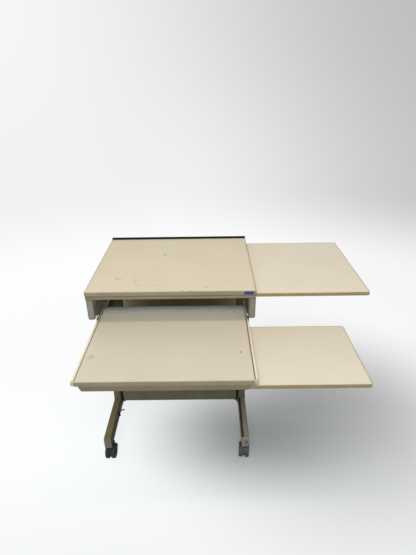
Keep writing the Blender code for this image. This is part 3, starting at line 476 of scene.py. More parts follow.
def make_piece(name, shapes, material, body, nodes=(), edge=None):
    """One mesh object from shapes, doubles merged and normals outward, its edges softened by a bevel."""
    counts = np.cumsum([0] + [len(points) for points, _ in shapes])
    faces = [[index + start for index in face] for (_, own), start in zip(shapes, counts) for face in own]
    mesh = bpy.data.meshes.new(name)
    mesh.from_pydata(np.concatenate([points for points, _ in shapes]), [], faces)
    shape = bmesh.new()
    shape.from_mesh(mesh)
    bmesh.ops.remove_doubles(shape, verts=shape.verts, dist=2e-6)
    bmesh.ops.recalc_face_normals(shape, faces=shape.faces)
    shape.to_mesh(mesh)
    shape.free()
    mesh.shade_smooth()
    mesh.set_sharp_from_angle(angle=SHARP_ANGLE)
    mesh.materials.append(material)
    obj = bpy.data.objects.new(name, mesh)
    bpy.context.scene.collection.objects.link(obj)
    edge = sizes().arris if edge is None else edge
    if edge:
        bevel = obj.modifiers.new("softened edges", "BEVEL")
        bevel.width = edge
        bevel.segments = 2
        bevel.limit_method = "ANGLE"
        bevel.angle_limit = SHARP_ANGLE
        bevel.harden_normals = True
    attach(obj, body)
    if nodes:
        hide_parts(*nodes)


def span(node):
    """A node's lowest and highest corner as arrays."""
    low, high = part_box(node)
    return np.array(low), np.array(high)


def block(node):
    """The node's box as a prism, for pieces whose detail is a softened edge."""
    low, high = span(node)
    return prism(rectangle(low[:2], high[:2]), "Z", low[2], high[2])


# Node helpers


def add_node(tree, kind, values=None, **attributes):
    """A node with attributes set, its inputs given as values or as sockets to link from."""
    made = tree.nodes.new(kind)
    for name, value in attributes.items():
        setattr(made, name, value)
    for key, value in (values or {}).items():
        if isinstance(value, bpy.types.NodeSocket):
            tree.links.new(value, made.inputs[key])
        else:
            made.inputs[key].default_value = value
    return made


def calc(tree, operation, first, second=0.0, clamp=False):
    values = {0: first, 1: second}
    return add_node(tree, "ShaderNodeMath", values, operation=operation, use_clamp=clamp).outputs[0]


def plus(tree, first, second):
    return calc(tree, "ADD", first, second)


def times(tree, first, second):
    return calc(tree, "MULTIPLY", first, second)


def vector_calc(tree, operation, first, second):
    values = {0: first, 1: second}
    return add_node(tree, "ShaderNodeVectorMath", values, operation=operation).outputs[0]


def measure(tree, offset, half):
    """Length of an offset whose axes are divided by half sizes."""
    values = {0: vector_calc(tree, "DIVIDE", offset, half)}
    return add_node(tree, "ShaderNodeVectorMath", values, operation="LENGTH").outputs["Value"]


def parts_of(tree, vector):
    return add_node(tree, "ShaderNodeSeparateXYZ", {0: vector}).outputs


def ease(tree, value, start, end, low=0.0, high=1.0):
    """A smooth step from low to high while a value goes from start to end."""
    values = {"Value": value, "From Min": start, "From Max": end, "To Min": low, "To Max": high}
    return add_node(tree, "ShaderNodeMapRange", values, interpolation_type="SMOOTHSTEP").outputs[0]


def blend(tree, share, first, second):
    """One colour laid over another by a share."""
    sockets = [(*value, 1.0) if isinstance(value, (tuple, list)) else value for value in (first, second)]
    values = {0: share, 6: sockets[0], 7: sockets[1]}
    return add_node(tree, "ShaderNodeMix", values, data_type="RGBA").outputs[2]


def noise(tree, place, scale, detail=2.0, rough=0.5):
    values = {"Vector": place, "Scale": scale, "Detail": detail, "Roughness": rough}
    return add_node(tree, "ShaderNodeTexNoise", values).outputs[0]


def own_place(tree):
    return add_node(tree, "ShaderNodeTexCoord").outputs["Object"]


def new_group(name, inputs, outputs):
    """A shader node group with float or vector inputs by their default, and float outputs."""
    tree = bpy.data.node_groups.new(name, "ShaderNodeTree")
    for label, value in inputs.items():
        kind = "NodeSocketVector" if isinstance(value, tuple) else "NodeSocketFloat"
        tree.interface.new_socket(label, in_out="INPUT", socket_type=kind).default_value = value
    for label in outputs:
        tree.interface.new_socket(label, in_out="OUTPUT", socket_type="NodeSocketFloat")
    return tree, add_node(tree, "NodeGroupInput").outputs, add_node(tree, "NodeGroupOutput").inputs


def make_edge_wear():
    """Distance to the nearest edge of a box is the middle one of the three distances to its faces; Near is
    one on the edge and falls to zero over Reach, Worn is Near broken up by noise."""
    zero = (0.0, 0.0, 0.0)
    inputs = {"Low": zero, "High": zero, "Reach": 0.004, "Break": 160.0}
    tree, given, result = new_group("Edge wear", inputs, ("Near", "Worn"))
    place = own_place(tree)
    from_low = vector_calc(tree, "SUBTRACT", place, given["Low"])
    from_high = vector_calc(tree, "SUBTRACT", given["High"], place)
    nearest = vector_calc(tree, "MINIMUM", from_low, from_high)
    x, y, z = parts_of(tree, nearest)
    least = calc(tree, "MINIMUM", x, y)
    most = calc(tree, "MAXIMUM", x, y)
    middle = calc(tree, "MAXIMUM", least, calc(tree, "MINIMUM", most, z))
    near = ease(tree, middle, 0.0, given["Reach"], 1.0, 0.0)
    broken = noise(tree, place, given["Break"], 4.0, 0.65)
    total = plus(tree, times(tree, near, 0.55), broken)
    tree.links.new(near, result["Near"])
    tree.links.new(ease(tree, total, 0.98, 1.10), result["Worn"])


def make_mottling():
    """Broad is a soft noise stretched in contrast, Fine the same at a much smaller size."""
    tree, given, result = new_group("Mottling", {"Scale": 6.0, "Fine scale": 420.0}, ("Broad", "Fine"))
    place = own_place(tree)
    broad = noise(tree, place, given["Scale"], 4.0, 0.6)
    fine = noise(tree, place, given["Fine scale"], 2.0, 0.6)
    tree.links.new(ease(tree, broad, 0.32, 0.68), result["Broad"])
    tree.links.new(ease(tree, fine, 0.35, 0.65), result["Fine"])


def make_scratches():
    """Thin lines where a stretched noise crosses its middle value, kept where a second noise is high."""
    inputs = {"Stretch": (60.0, 3.0, 60.0), "Width": 0.012, "Cover": 0.62}
    tree, given, result = new_group("Scratches", inputs, ("Mask",))
    place = own_place(tree)
    drawn = vector_calc(tree, "MULTIPLY", place, given["Stretch"])
    line = noise(tree, drawn, 1.0, 1.0, 0.4)
    away = calc(tree, "ABSOLUTE", calc(tree, "SUBTRACT", line, 0.5))
    thin = ease(tree, away, 0.0, given["Width"], 1.0, 0.0)
    cover = given["Cover"]
    kept = ease(tree, noise(tree, place, 26.0, 3.0), cover, plus(tree, cover, 0.08))
    tree.links.new(times(tree, thin, kept), result["Mask"])


def make_mark():
    """An oval smudge: the offset from Place, turned about Z and divided by the half sizes, has a length whose
    ragged fall from one to zero is the mask."""
    inputs = {"Place": (0.0, 0.0, 0.0), "Half": (0.01, 0.01, 0.01), "Turn": 0.0, "Ragged": 0.5}
    tree, given, result = new_group("Mark", inputs, ("Mask",))
    place = own_place(tree)
    offset = vector_calc(tree, "SUBTRACT", place, given["Place"])
    values = {"Vector": offset, "Angle": given["Turn"]}
    spun = add_node(tree, "ShaderNodeVectorRotate", values, rotation_type="Z_AXIS").outputs[0]
    away = measure(tree, spun, given["Half"])
    ragged = calc(tree, "SUBTRACT", noise(tree, place, 240.0, 4.0), 0.5)
    away = plus(tree, away, times(tree, ragged, given["Ragged"]))
    tree.links.new(ease(tree, away, 0.45, 1.0, 1.0, 0.0), result["Mask"])


def make_grain():
    """Height of a moulded or sprayed skin: a fine noise with a coarser swell under it."""
    tree, given, result = new_group("Grain", {"Scale": 900.0, "Swell": 0.3}, ("Height",))
    place = own_place(tree)
    fine = noise(tree, place, given["Scale"], 2.0)
    coarse = noise(tree, place, times(tree, given["Scale"], 0.22), 1.0)
    tree.links.new(plus(tree, fine, times(tree, coarse, given["Swell"])), result["Height"])


def use_group(tree, name, **values):
    made = add_node(tree, "ShaderNodeGroup", node_tree=bpy.data.node_groups[name])
    for label, value in values.items():
        made.inputs[label.replace("_", " ")].default_value = value
    return made.outputs


def new_material(name):
    material = bpy.data.materials.new(name)
    material.use_nodes = True
    tree = material.node_tree
    return material, tree, tree.nodes["Principled BSDF"]


def shade(base, factor):
    """A colour scaled channel by channel."""
    factor = np.broadcast_to(np.asarray(factor, float), 3)
    return tuple(float(value) for value in np.clip(np.asarray(base) * factor, 0.0, 1.0))


def layered(tree, base, *layers):
    """The base colour under layers of (mask, share, factor): each is the base scaled by its factor, and is
    laid on by a share of its mask."""
    tone = tuple(base)
    for mask, share, factor in layers:
        tone = blend(tree, times(tree, mask, share), tone, shade(base, factor))
    return tone


def dress(tree, shader, tone, rough, layers, grain):
    """Links a tone, a roughness that is a least value plus shares of masks, and a bump of the grain group,
    which is given as scale, swell, strength and distance."""
    tree.links.new(tone, shader.inputs["Base Color"])
    for mask, share in layers:
        rough = plus(tree, times(tree, mask, share), rough)
    tree.links.new(rough, shader.inputs["Roughness"])
    scale, swell, strength, distance = grain
    height = use_group(tree, "Grain", Scale=scale, Swell=swell)["Height"]
    values = {"Height": height, "Strength": strength, "Distance": distance}
    tree.links.new(add_node(tree, "ShaderNodeBump", values).outputs[0], shader.inputs["Normal"])


def laminate(name, base, low, high, marks=()):
    """Printed laminate: broad yellowing, fine specks, grime along the edges, scratches and placed marks
    given as (place, half sizes, turn, strength, colour)."""
    material, tree, shader = new_material(name)
    mottle = use_group(tree, "Mottling", Scale=4.5, Fine_scale=520.0)
    wear = use_group(tree, "Edge wear", Low=tuple(low), High=tuple(high), Reach=0.010, Break=90.0)
    scratch = use_group(tree, "Scratches", Stretch=(9.0, 70.0, 9.0), Width=0.010, Cover=0.60)
    tone = layered(
        tree, base,
        (mottle["Broad"], 0.55, (0.95, 0.93, 0.86)),
        (mottle["Fine"], 0.22, (0.86, 0.84, 0.80)),
        (times(tree, wear["Near"], mottle["Broad"]), 0.30, (0.62, 0.56, 0.46)),
        (scratch["Mask"], 0.22, (0.72, 0.68, 0.60)),
    )
    for place, half, turn, strength, darkening in marks:
        mask = use_group(tree, "Mark", Place=place, Half=half, Turn=turn)["Mask"]
        tone = blend(tree, times(tree, mask, strength), tone, darkening)
    rough = ((mottle["Broad"], 0.10), (scratch["Mask"], 0.15))
    dress(tree, shader, tone, 0.44, rough, (1400.0, 0.6, 0.10, 0.0002))
    shader.inputs["Specular IOR Level"].default_value = 0.35
    return material


def edge_band(name, base, low, high):
    """Glued band: streaks along its length, dark rubs on the rounded edges, a few knocks."""
    material, tree, shader = new_material(name)
    mottle = use_group(tree, "Mottling", Scale=11.0, Fine_scale=300.0)
    wear = use_group(tree, "Edge wear", Low=tuple(low), High=tuple(high), Reach=0.0030, Break=130.0)
    streak = use_group(tree, "Scratches", Stretch=(5.0, 5.0, 420.0), Width=0.05, Cover=0.48)
    tone = layered(
        tree, base,
        (mottle["Broad"], 1.0, (0.90, 0.87, 0.80)),
        (mottle["Fine"], 0.20, 0.75),
        (streak["Mask"], 0.35, (0.70, 0.66, 0.58)),
        (wear["Worn"], 0.55, (0.55, 0.50, 0.42)),
    )
    dress(tree, shader, tone, 0.46, ((mottle["Broad"], 0.12),), (700.0, 0.8, 0.12, 0.0003))
    return material


def powder_coat(name, base, low, high, chips=0.8, grime_and_edge_shade=0.0, rust=0.0, gloss=0.15):
    """Sprayed coat on steel: orange-peel skin, uneven tone, dusty bloom, upright streaks of soiling, painted
    shade that darkens the edges, edges rubbed through to the metal, and rusty patches."""
    material, tree, shader = new_material(name)
    box = {"Low": tuple(low), "High": tuple(high)}
    mottle = use_group(tree, "Mottling", Scale=9.0, Fine_scale=380.0)
    wear = use_group(tree, "Edge wear", **box, Reach=0.0035, Break=210.0)
    scratch = use_group(tree, "Scratches", Stretch=(40.0, 14.0, 24.0), Width=0.014, Cover=0.60)
    layers = [
        (mottle["Broad"], 0.8, (0.84, 0.84, 0.86)),
        (mottle["Fine"], 0.30, 1.18),
        (scratch["Mask"], 0.35, 1.45),
    ]
    if grime_and_edge_shade:
        # Painted shade near the edges, with upright streaks of soiling laid over it
        dark = use_group(tree, "Edge wear", **box, Reach=0.0075, Break=90.0)["Near"]
        streak = use_group(tree, "Scratches", Stretch=(230.0, 230.0, 3.0), Width=0.10, Cover=0.44)["Mask"]
        darkening = calc(tree, "MAXIMUM", dark, times(tree, streak, 0.35))
        layers.append((darkening, grime_and_edge_shade, (0.42, 0.39, 0.34)))
    if rust:
        patch = use_group(tree, "Mottling", Scale=34.0, Fine_scale=150.0)["Broad"]
        layers.append((patch, rust, (0.80, 0.58, 0.36)))
    bare = times(tree, wear["Worn"], chips)
    tone = blend(tree, bare, layered(tree, base, *layers), BARE_STEEL)
    dress(tree, shader, tone, 0.42, ((mottle["Broad"], 0.14),), (620.0, 0.7, 0.22, 0.0004))
    tree.links.new(times(tree, bare, 0.8), shader.inputs["Metallic"])
    shader.inputs["Specular IOR Level"].default_value = gloss
    return material


def slide_coat(name, base, seam=None):
    """Smooth epoxy on the slides: rub lines along the travel, greasy soiling in patches, and painted shade, a
    dark band within a width of a place along X, where a strip meets the tray."""
    material, tree, shader = new_material(name)
    mottle = use_group(tree, "Mottling", Scale=24.0, Fine_scale=260.0)
    rub = use_group(tree, "Scratches", Stretch=(900.0, 4.0, 900.0), Width=0.06, Cover=0.50)
    tone = layered(
        tree, base,
        (mottle["Broad"], 0.5, (0.88, 0.84, 0.76)),
        (mottle["Fine"], 0.16, 0.70),
    )
    tone = blend(tree, times(tree, rub["Mask"], 0.40), tone, RUB_LINES)
    # Painted shade: a dark band along the seam where a strip meets the tray
    if seam:
        place, width = seam
        away = calc(tree, "ABSOLUTE", calc(tree, "SUBTRACT", parts_of(tree, own_place(tree))[0], place))
        darkening = ease(tree, away, 0.7 * width, 1.15 * width, 0.92, 0.0)
        tone = blend(tree, darkening, tone, SEAM_PAINTED_SHADE)
    dress(tree, shader, tone, 0.30, ((mottle["Broad"], 0.15),), (500.0, 1.0, 0.08, 0.0003))
    return material


def zinc_plate(name, base):
    """Plated sheet: spangle cells that differ a little in tone and gloss, drawn lines, dull patches; the pale
    blue-grey base with little metal is partly a painted reflection.
    """
    material, tree, shader = new_material(name)
    values = {"Vector": own_place(tree), "Scale": 120.0}
    cells = add_node(tree, "ShaderNodeTexVoronoi", values).outputs["Color"]
    cell = add_node(tree, "ShaderNodeSeparateColor", {0: cells}).outputs[0]
    mottle = use_group(tree, "Mottling", Scale=14.0, Fine_scale=340.0)
    drawn = use_group(tree, "Scratches", Stretch=(6.0, 520.0, 520.0), Width=0.05, Cover=0.45)
    tone = layered(
        tree, base,
        (cell, 0.45, (0.80, 0.82, 0.85)),
        (mottle["Broad"], 0.5, (0.72, 0.72, 0.70)),
        (drawn["Mask"], 0.3, 1.2),
    )
    rough = ((cell, 0.12), (mottle["Broad"], 0.15))
    dress(tree, shader, tone, 0.34, rough, (420.0, 1.0, 0.06, 0.0003))
    # Little metal: the reflection is painted into the pale base
    shader.inputs["Metallic"].default_value = 0.15
    return material


def moulded(name, base, rough=0.5, scale=800.0, rub=1.35, gloss=0.5):
    """Moulded plastic: fine skin, uneven tone, pale rubs and scratches."""
    material, tree, shader = new_material(name)
    mottle = use_group(tree, "Mottling", Scale=30.0, Fine_scale=600.0)
    scratch = use_group(tree, "Scratches", Stretch=(120.0, 60.0, 90.0), Width=0.03, Cover=0.52)
    tone = layered(
        tree, base,
        (mottle["Broad"], 0.8, 0.78),
        (mottle["Fine"], 0.25, 1.2),
        (scratch["Mask"], 0.5, rub),
    )
    dress(tree, shader, tone, rough - 0.08, ((mottle["Broad"], 0.16),), (scale, 0.4, 0.18, 0.0003))
    shader.inputs["Specular IOR Level"].default_value = gloss
    return material


def plated_screw(name, base):
    """Plated steel with dull spots."""
    material, tree, shader = new_material(name)
    mottle = use_group(tree, "Mottling", Scale=160.0, Fine_scale=1500.0)
    tone = layered(tree, base, (mottle["Broad"], 1.0, (0.70, 0.66, 0.58)))
    dress(tree, shader, tone, 0.28, ((mottle["Fine"], 0.2),), (1800.0, 0.4, 0.12, 0.0001))
    shader.inputs["Metallic"].default_value = 0.9
    return material


def finish(name):
    return bpy.data.materials[name]


def on_top(node, spots):
    """Rows of (x, y, half x, half y, turn, strength, colour) as marks on a board's upper face."""
    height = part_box(node)[1].z
    return [((x, y, height), (a, b, MARK_DEPTH), *rest) for x, y, a, b, *rest in spots]


def top_marks():
    """Marks on the top: pale brown stains, a dark spot and rubs near the front edge."""
    stain, dark = (0.30, 0.22, 0.12), (0.12, 0.09, 0.055)
    spots = (
        (-0.2869, 0.2574, 0.012, 0.009, 0.3, 0.55, stain),
        (-0.2840, 0.2560, 0.005, 0.004, 0.0, 0.60, dark),
        (-0.4709, 0.0038, 0.007, 0.005, 0.0, 0.80, dark),
        (-0.4600, 0.0060, 0.022, 0.007, 0.1, 0.28, stain),
        (-0.3959, -0.0077, 0.011, 0.005, 0.6, 0.60, stain),
        (-0.3719, -0.0547, 0.006, 0.010, 0.5, 0.45, stain),
        (-0.3860, -0.0250, 0.004, 0.014, 0.5, 0.40, stain),
        (-0.0878, -0.0800, 0.009, 0.005, 0.1, 0.75, stain),
        (-0.0840, -0.0810, 0.004, 0.003, 0.0, 0.70, dark),
        (-0.1150, -0.0740, 0.010, 0.004, 0.2, 0.30, stain),
        (-0.0079, -0.0369, 0.005, 0.005, 0.0, 0.55, stain),
        (-0.5113, 0.0541, 0.006, 0.004, 0.5, 0.45, stain),
        (-0.1500, -0.1165, 0.022, 0.004, 0.0, 0.80, dark),
        (-0.1850, -0.1165, 0.012, 0.004, 0.0, 0.65, dark),
        (-0.4150, -0.1165, 0.006, 0.004, 0.0, 0.70, dark),
        (-0.3000, -0.0600, 0.050, 0.016, 0.3, 0.10, stain),
    )
    return on_top("top_board", spots)


def tray_marks():
    """Marks on the tray: a small dark spot and a smudge by the left edge."""
    spots = (
        (0.0431, -0.3156, 0.0050, 0.005, 0.0, 0.85, (0.12, 0.10, 0.07)),
        (-0.5208, -0.3360, 0.016, 0.020, 0.2, 0.38, (0.36, 0.28, 0.18)),
        (-0.2300, -0.4500, 0.120, 0.016, 0.0, 0.10, (0.45, 0.38, 0.26)),
    )
    return on_top("tray_board", spots)


class DESK_OT_finishes(bpy.types.Operator):
    """Makes the shared node groups and the finishes that several pieces use"""

    bl_idname = "desk.finishes"
    bl_label = "Finishes"

    def execute(self, context):
        for make in (make_edge_wear, make_mottling, make_scratches, make_mark, make_grain):
            make()
        tint = colours()
        slide_coat("slide coat", tint.slides)
        zinc_plate("zinc plate", tint.zinc)
        moulded("black strip", tint.black, rough=0.6, scale=700.0, rub=2.5, gloss=0.12)
        # Painted light and shade: left and right caps differ, and the left casters' plastic is darkened
        moulded("left caps", tint.left_cap)
        moulded("right caps", tint.right_cap)
        dull = shade(tint.caster, (0.74, 0.70, 0.64))
        moulded("left caster plastic", dull, rough=0.6, scale=900.0, rub=1.6, gloss=0.06)
        moulded("right caster plastic", tint.caster, scale=900.0, rub=1.6, gloss=0.25)
        moulded("nylon", tint.nylon, rough=0.4, scale=600.0, rub=0.7)
        dull = shade(tint.nylon, (0.66, 0.585, 0.50))
        moulded("dull nylon", dull, scale=600.0, rub=0.7, gloss=0.3)
        moulded("blank plate", tint.plate, rough=0.32, scale=900.0, rub=1.1)
        plated_screw("plated screws", tint.screw)
        return {"FINISHED"}


class DESK_OT_boards(bpy.types.Operator):
    """Makes the top, the tray board, both leaves and their bands"""

    bl_idname = "desk.boards"
    bl_label = "Boards and bands"

    def execute(self, context):
        size, tint = sizes(), colours()
        square, round_ = size.board_corner, size.leaf_corner
        leaf = (square, round_, round_, square)
        self.banded("top", "desk", (square,) * 4, tint.top, tint.band, top_marks())
        self.banded("upper_leaf", "upper_leaf", leaf, tint.leaf, tint.leaf_band, ())
        self.banded("lower_leaf", "lower_leaf", leaf, tint.leaf, tint.leaf_band, ())
        self.tray()
        return {"FINISHED"}

    def tray(self):
        """The tray board as a plain block, and its front band as a rectangle with rounded front edges drawn
        along X."""
        size, tint = sizes(), colours()
        low, high = span("tray_board")
        board = laminate("tray laminate", tint.tray, low, high, tray_marks())
        make_piece("tray_laminated", [block("tray_board")], board, "tray", ("tray_board",))
        low, high = span("tray_front_band")
        profile = rectangle(low[1:], high[1:], (size.band_round, 0.0, 0.0, size.band_round))
        band = edge_band("tray band", tint.band, low, high)
        shapes = [prism(profile, "X", low[0], high[0])]
        make_piece("tray_band", shapes, band, "tray", ("tray_front_band",))

    def banded(self, name, body, radii, base, band_base, marks):
        """A board as an outline drawn up, and its band as a closed profile carried round the outline: each
        point of the profile is an inset of the outline at a height."""
        size = sizes()
        low, high = span(name + "_board")
        outer_low, outer_high = span(name + "_edge_band")
        gap = low[0] - outer_low[0]
        board = laminate(name + " laminate", base, low, high, marks)
        points = rectangle(low[:2], high[:2], np.maximum(np.array(radii) - gap, 0.0))
        shapes = [prism(points, "Z", low[2], high[2])]
        make_piece(name + "_laminated", shapes, board, body, (name + "_board",))

        edge = size.band_round
        section = rectangle((0.0, low[2]), (size.band, high[2]), (edge, 0.0, 0.0, edge), steps=4)
        draw = partial(rectangle, outer_low[:2], outer_high[:2], radii)
        shapes = [skin([placed(draw(inset), "Z", height) for inset, height in section], closed=True)]
        band = edge_band(name + " band", band_base, outer_low, outer_high)
        make_piece(name + "_band", shapes, band, body, (name + "_edge_band",), NO_EDGE)


class DESK_OT_top_frame(bpy.types.Operator):
    """Makes the stop strip, rails, battens, side brackets and back panel"""

    bl_idname = "desk.top_frame"
    bl_label = "Frame under the top"

    def execute(self, context):
        self.strip()
        self.rails()
        self.battens()
        self.brackets()
        self.back_panel()
        return {"FINISHED"}

    def strip(self):
        """A moulded strip: rounded upper edges and two shallow grooves along its top."""
        low, high = span("rear_stop_strip")
        top, groove, round_ = high[2], 0.0007, 0.0020
        shares = ((0.72, 0.0), (0.66, groove), (0.60, 0.0), (0.40, 0.0), (0.34, groove), (0.28, 0.0))
        grooves = [(low[1] + (high[1] - low[1]) * share, top - drop, 0.0) for share, drop in shares]
        profile = outline([
            (low[1], low[2], 0.0), (high[1], low[2], 0.0), (high[1], top, round_), *grooves,
            (low[1], top, round_),
        ])
        shapes = [prism(profile, "X", low[0], high[0])]
        coat = finish("black strip")
        make_piece("stop_strip", shapes, coat, "desk", ("rear_stop_strip",), SOFT_EDGE)

    def rails(self):
        """Folded sheet drawn along X: the section's folds are arcs, one sheet wider outside than inside."""
        size, tint = sizes(), colours()
        sheet, inner = size.sheet, size.fold
        outer = inner + sheet
        low, high = span("front_rail")
        face_top = low[2] + size.rail_face
        back = low[1] + sheet
        step, step_back = low[1] + size.rail_step, back + size.rail_step
        section = outline([
            (low[1], low[2], outer), (high[1], low[2], 0.0), (high[1], low[2] + sheet, 0.0),
            (back, low[2] + sheet, inner), (back, face_top - sheet, inner),
            (step_back, face_top - sheet, outer), (step_back, high[2], 0.0),
            (step, high[2], 0.0), (step, face_top, inner), (low[1], face_top, outer),
        ])
        coat = powder_coat("front rail coat", tint.rail, low, high)
        shapes = [prism(section, "X", low[0], high[0])]
        make_piece("rail_front", shapes, coat, "desk", ("front_rail",), FINE_EDGE)

        low, high = span("rear_rail")
        back = high[1] - sheet
        section = outline([
            (low[1], low[2], 0.0), (high[1], low[2], outer), (high[1], high[2], 0.0),
            (back, high[2], 0.0), (back, low[2] + sheet, inner), (low[1], low[2] + sheet, 0.0),
        ])
        coat = powder_coat("rear rail coat", tint.rail, low, high)
        shapes = [prism(section, "X", low[0], high[0])]
        make_piece("rail_rear", shapes, coat, "desk", ("rear_rail",), FINE_EDGE)

    def battens(self):
        """Plain blocks with well softened edges."""
        for node in ("left_batten", "rear_batten"):
            low, high = span(node)
            coat = powder_coat(node + " paint", colours().legs, low, high, chips=0.3)
            make_piece(node + "_painted", [block(node)], coat, "desk", (node,), edge=0.0012)

    def brackets(self):
        """Folded boxes, open to the rear, with rounded lower edges."""
        size, tint = sizes(), colours()
        radii = (size.bracket_corner, size.bracket_corner, size.sheet, size.sheet)
        for name in SIDES:
            node = f"{name}_side_bracket"
            low, high = span(node)
            draw = partial(rectangle, low[[0, 2]], high[[0, 2]], radii)
            shapes = [folded_box(draw, "Y", low[1], high[1], size.bracket_nose, size.sheet, 6)]
            # Painted light and shade: one side's bracket lighter, the other's darker
            base = shade(tint.bracket, BRACKET_PAINTED_SHADING[name])
            coat = powder_coat(node + " coat", base, low, high, chips=0.5, grime_and_edge_shade=0.75)
            make_piece(node + "_folded", shapes, coat, "desk", (node,), NO_EDGE)

    def back_panel(self):
        """A sheet, narrow between the brackets and wide below them, with its edges folded back as the
        brackets' are."""
        size = sizes()
        low, high = span("back_panel")
        left, right = span("left_side_bracket"), span("right_side_bracket")
        x0, x1 = left[1][0] + size.fit, right[0][0] - size.fit
        shoulder = left[0][2] - size.fit

        def shouldered(inset):
            """The panel's outline drawn in by an inset."""
            round_ = max(2 * size.sheet - inset, 0.0)
            return outline([
                (low[0] + inset, low[2] + inset, round_),
                (high[0] - inset, low[2] + inset, round_),
                (high[0] - inset, shoulder - inset, round_),
                (x1 - inset, shoulder - inset, 0.0),
                (x1 - inset, high[2] - inset, round_),
                (x0 + inset, high[2] - inset, round_),
                (x0 + inset, shoulder - inset, 0.0),
                (low[0] + inset, shoulder - inset, round_),
            ])

        nose = size.fold + size.sheet
        shapes = [folded_box(shouldered, "Y", low[1], high[1], nose, size.sheet, 5)]
        coat = powder_coat("back panel coat", colours().inner, low, high)
        make_piece("back_panel_folded", shapes, coat, "desk", ("back_panel",), NO_EDGE)


class DESK_OT_tray_steel(bpy.types.Operator):
    """Makes the skirt under the tray's front, the leaf's rear runner and the rear channel"""

    bl_idname = "desk.tray_steel"
    bl_label = "Steel under the tray"

    def execute(self, context):
        self.skirt()
        self.leaf_runner()
        self.rear_channel()
        return {"FINISHED"}

    def skirt(self):
        """A folded section drawn along X, whose half length shrinks evenly towards its lower edge."""
        size = sizes()
        sheet, inner = size.slide_sheet, size.fold
        outer = inner + sheet
        low, high = span("tray_front_skirt")
        reach = (high[0] - low[0]) / 2
        middle = (high[0] + low[0]) / 2
        shelf, fold = low[1] + size.leaf_flange, low[1] + size.tray_flange
        section = outline([
            (low[1], low[2], outer), (shelf, low[2], 0.0), (shelf, low[2] + sheet, 0.0),
            (low[1] + sheet, low[2] + sheet, inner), (low[1] + sheet, high[2] - sheet, inner),
            (fold, high[2] - sheet, 0.0), (fold, high[2], 0.0), (low[1], high[2], outer),
        ])
        half = reach - size.skirt_slant * (high[2] - section[:, 1]) / (high[2] - low[2])
        shapes = [skin([placed(section, "X", middle - half), placed(section, "X", middle + half)])]
        coat = powder_coat("skirt coat", colours().skirt, low, high)
        make_piece("tray_skirt", shapes, coat, "tray", ("tray_front_skirt",), FINE_EDGE)

    def leaf_runner(self):
        """A Z section of sheet drawn along X."""
        size = sizes()
        sheet, inner = size.slide_sheet, size.fold
        outer = inner + sheet
        low, high = span("leaf_rear_runner")
        web = low[1] + size.leaf_flange - sheet
        section = outline([
            (low[1], low[2], 0.0), (web + sheet, low[2], outer), (web + sheet, high[2] - sheet, inner),
            (high[1], high[2] - sheet, 0.0), (high[1], high[2], 0.0), (web, high[2], outer),
            (web, low[2] + sheet, inner), (low[1], low[2] + sheet, 0.0),
        ])
        shapes = [prism(section, "X", low[0], high[0])]
        coat = finish("zinc plate")
        make_piece("leaf_runner", shapes, coat, "tray", ("leaf_rear_runner",), FINE_EDGE)

    def rear_channel(self):
        """A channel of sheet, open below, drawn along X."""
        size = sizes()
        sheet, inner = size.slide_sheet, size.fold
        outer = inner + sheet
        low, high = span("tray_rear_channel")
        section = outline([
            (low[1], low[2], 0.0), (low[1] + sheet, low[2], 0.0), (low[1] + sheet, high[2] - sheet, inner),
            (high[1] - sheet, high[2] - sheet, inner), (high[1] - sheet, low[2], 0.0), (high[1], low[2], 0.0),
            (high[1], high[2], outer), (low[1], high[2], outer),
        ])
        shapes = [prism(section, "X", low[0], high[0])]
        coat = finish("zinc plate")
        make_piece("rear_channel", shapes, coat, "tray", ("tray_rear_channel",), FINE_EDGE)


